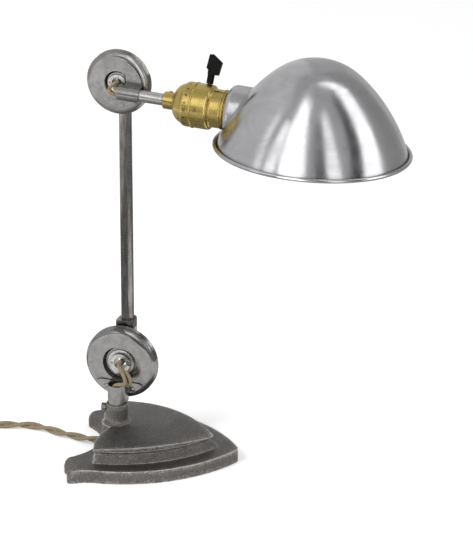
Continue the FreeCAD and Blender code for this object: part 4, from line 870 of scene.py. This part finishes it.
class LAMP_OT_key(bpy.types.Operator):
    """Finishes the flag-shaped turn key"""
    bl_idname = "lamp.key"
    bl_label = "Key"

    def execute(self, context):
        dress("moulded black", "switch_key")
        dress("plain brass", "switch_shaft")
        return {"FINISHED"}


class LAMP_OT_shade(bpy.types.Operator):
    """Finishes the spun dome shade"""
    bl_idname = "lamp.shade"
    bl_label = "Shade"

    def execute(self, context):
        dress("spun steel", "shade")
        return {"FINISHED"}


# ---------------------------------------------------------------- stage


def soft_lamp(name, place, aim, width, height, power):
    data = bpy.data.lights.new(name, "AREA")
    data.shape = "RECTANGLE"
    data.size = width
    data.size_y = height
    data.energy = power
    lamp = add_object(name, data)
    turn = (Vector(aim) - Vector(place)).to_track_quat("-Z", "Y").to_matrix().to_4x4()
    lamp.matrix_world = Matrix.Translation(place) @ turn
    lamp.visible_glossy = False


# Studio cards round the shade, seen by glossy rays alone. Each has degrees from the camera's own
# bearing from and to, degrees of rise from and to, how far it leans round with its rise, and its
# strength, white being 1. The windows stand in front of the flags.
CAMERA_BEARING = -70.9
CARD_CENTRE = (0.177, 0.003, 0.33)
CARD_ROWS, CARD_COLUMNS = 13, 25
WINDOW_REACH = 0.65
WINDOWS = {
    "left_strip": (-63, -53, -14, 50, -0.30, 1.15),
    "socket_strip": (-58, -45, 16, 52, 0.0, 1.6),
    "left_window": (-36, -5, -14, 74, -0.10, 2.2),
    "soft_window": (19, 34, -14, 62, 0.0, 1.5),
    "right_window": (51, 78, -14, 86, 0.48, 2.1),
}
FLAG_REACH = 0.68
FLAGS = {
    "left_wall": (-176, -70, -14, 64, 0.0, 0.64),
    "gap_flag": (-52, -37, -14, 14, 0.0, 0.16),
    "narrow_flag": (4, 17, -14, 56, 0.0, 0.15),
    "dark_flag": (35, 52, -14, 66, 0.40, 0.05),
    "right_flag": (81, 140, -14, 60, 0.20, 0.36),
    "back_flag": (140, 184, -14, 52, 0.0, 0.50),
}
LOW_CARD_REACH = 0.28
LOW_CARDS = {
    "low_card": (-180, 180, -30, -15, 0.0, 0.55),
    "under_card": (-180, 180, -62, -30, 0.0, 0.25),
}
SURROUND_REACH = 2.8
SURROUND = (-180, 180, 0, 88, 0.0, 0.46)


def glow_material(name, strength):
    """Even light of this strength with faint broad clouds."""
    made, tree, shader, here = new_material(name, base_color=(0, 0, 0, 1), roughness=1.0,
                                            specular_ior_level=0.0, emission_color=(1, 1, 1, 1))
    glow = span(tree, noise(tree, here, 2.5, 2.0), 0.2, 0.8, 0.9 * strength, 1.1 * strength)
    tree.links.new(glow, shader.inputs["Emission Strength"])
    return made


def studio_card(name, centre, reach, start, end, low, high, lean, strength):
    """Patch of a sphere: centre + reach (cos e cos b, cos e sin b, sin e), where the bearing b runs
    from start to end and on by lean times the rise e past its low."""
    lift = np.linspace(0, high - low, CARD_ROWS)[:, None]
    rise = np.radians(low + lift)
    bearing = np.radians(CAMERA_BEARING + np.linspace(start, end, CARD_COLUMNS)[None, :] + lean * lift)
    points = np.stack(np.broadcast_arrays(np.cos(rise) * np.cos(bearing),
                                          np.cos(rise) * np.sin(bearing), np.sin(rise)), axis=-1)
    card = add_mesh(name, np.asarray(centre) + reach * points,
                    grid_faces(CARD_ROWS, CARD_COLUMNS, False).tolist())
    card.data.materials.append(glow_material(name, strength))
    for rays in ("camera", "diffuse", "shadow", "transmission", "volume_scatter"):
        setattr(card, "visible_" + rays, False)


FLOOR_REACH = 6.0
FLOOR_LIFT = 0.30  # the light that takes the floor to white for the camera
LAMP_AIM = (0.05, 0, 0.2)
LAMPS = {  # place, width, height and share of the key light's power
    "key_light": ((-0.9, -1.3, 1.7), 0.9, 0.9, 1.0),
    "fill_light": ((1.5, -0.8, 1.0), 0.5, 1.0, 0.35),
}


def floor_material(tint):
    """Pale matt table that keeps the object's shadow and is lifted to white for the camera."""
    made, tree, shader, here = new_material("pale floor", roughness=0.9, specular_ior_level=0.0,
                                            emission_color=(1, 1, 1, 1))
    grain = noise(tree, here, 400.0, 2.0)
    base = tinted(tree, tint, scaled(tint, 0.9), grain, 0.02)
    tree.links.new(base, shader.inputs["Base Color"])
    seen = put(tree, "ShaderNodeLightPath").outputs["Is Camera Ray"]
    tree.links.new(calc(tree, "MULTIPLY", seen, FLOOR_LIFT), shader.inputs["Emission Strength"])
    return made


class LAMP_OT_stage(bpy.types.Operator):
    """Lays the pale floor and sets the soft studio light"""
    bl_idname = "lamp.stage"
    bl_label = "Stage"

    def execute(self, context):
        stage = context.scene.lamp_stage
        corners = FLOOR_REACH * np.array([(-1, -1, 0), (1, -1, 0), (1, 1, 0), (-1, 1, 0)])
        floor = add_mesh("floor", corners, [(0, 1, 2, 3)])
        floor.data.materials.append(floor_material(tuple(stage.floor)))
        for name, (place, width, height, share) in LAMPS.items():
            soft_lamp(name, place, LAMP_AIM, width, height, stage.key_light * share)
        studio_card("surround", (0, 0, 0), SURROUND_REACH, *SURROUND)
        for reach, cards in ((LOW_CARD_REACH, LOW_CARDS), (WINDOW_REACH, WINDOWS),
                             (FLAG_REACH, FLAGS)):
            for name, card in cards.items():
                studio_card(name, CARD_CENTRE, reach, *card)
        world = bpy.data.worlds.new("studio")
        context.scene.world = world
        world.use_nodes = True
        tree = world.node_tree
        back = tree.nodes["Background"]
        path = put(tree, "ShaderNodeLightPath").outputs
        seen = calc(tree, "MAXIMUM", path["Is Camera Ray"], path["Is Glossy Ray"])
        seen = calc(tree, "MAXIMUM", seen, path["Is Transmission Ray"])
        back.inputs["Color"].default_value = (1, 1, 1, 1)
        strength = calc(tree, "MULTIPLY_ADD", seen, 1.0 - stage.sky, stage.sky)
        tree.links.new(strength, back.inputs["Strength"])
        context.scene.view_settings.view_transform = "Standard"
        return {"FINISHED"}


# ---------------------------------------------------------------- add-on

OPERATORS = (LAMP_OT_camera, LAMP_OT_cord, LAMP_OT_base, LAMP_OT_joints, LAMP_OT_wires,
             LAMP_OT_socket, LAMP_OT_key, LAMP_OT_shade, LAMP_OT_stage)


class LAMP_PT_panel(bpy.types.Panel):
    """Lists the lamp's sizes, colours and pieces"""
    bl_idname = "LAMP_PT_panel"
    bl_label = "Desk Lamp"
    bl_space_type = "VIEW_3D"
    bl_region_type = "UI"
    bl_category = "Desk Lamp"

    def draw(self, context):
        for group in (context.scene.lamp_sizes, context.scene.lamp_colours, context.scene.lamp_stage):
            box = self.layout.box()
            for name in group.__annotations__:
                box.prop(group, name)
        for operator in OPERATORS:
            self.layout.operator(operator.bl_idname)


GROUP_CLASSES = (LampSizes, LampColours, LampStage)


def register():
    for kind in GROUP_CLASSES + OPERATORS + (LAMP_PT_panel,):
        bpy.utils.register_class(kind)
    bpy.types.Scene.lamp_sizes = bpy.props.PointerProperty(type=LampSizes)
    bpy.types.Scene.lamp_colours = bpy.props.PointerProperty(type=LampColours)
    bpy.types.Scene.lamp_stage = bpy.props.PointerProperty(type=LampStage)


def unregister():
    del bpy.types.Scene.lamp_stage
    del bpy.types.Scene.lamp_colours
    del bpy.types.Scene.lamp_sizes
    for kind in reversed(GROUP_CLASSES + OPERATORS + (LAMP_PT_panel,)):
        bpy.utils.unregister_class(kind)


def main():
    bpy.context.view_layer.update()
    register()
    bpy.ops.lamp.camera()
    bpy.ops.lamp.cord()
    bpy.ops.lamp.base()
    bpy.ops.lamp.joints()
    bpy.ops.lamp.wires()
    bpy.ops.lamp.socket()
    bpy.ops.lamp.key()
    bpy.ops.lamp.shade()
    bpy.ops.lamp.stage()


if __name__ == "__main__":
    main()
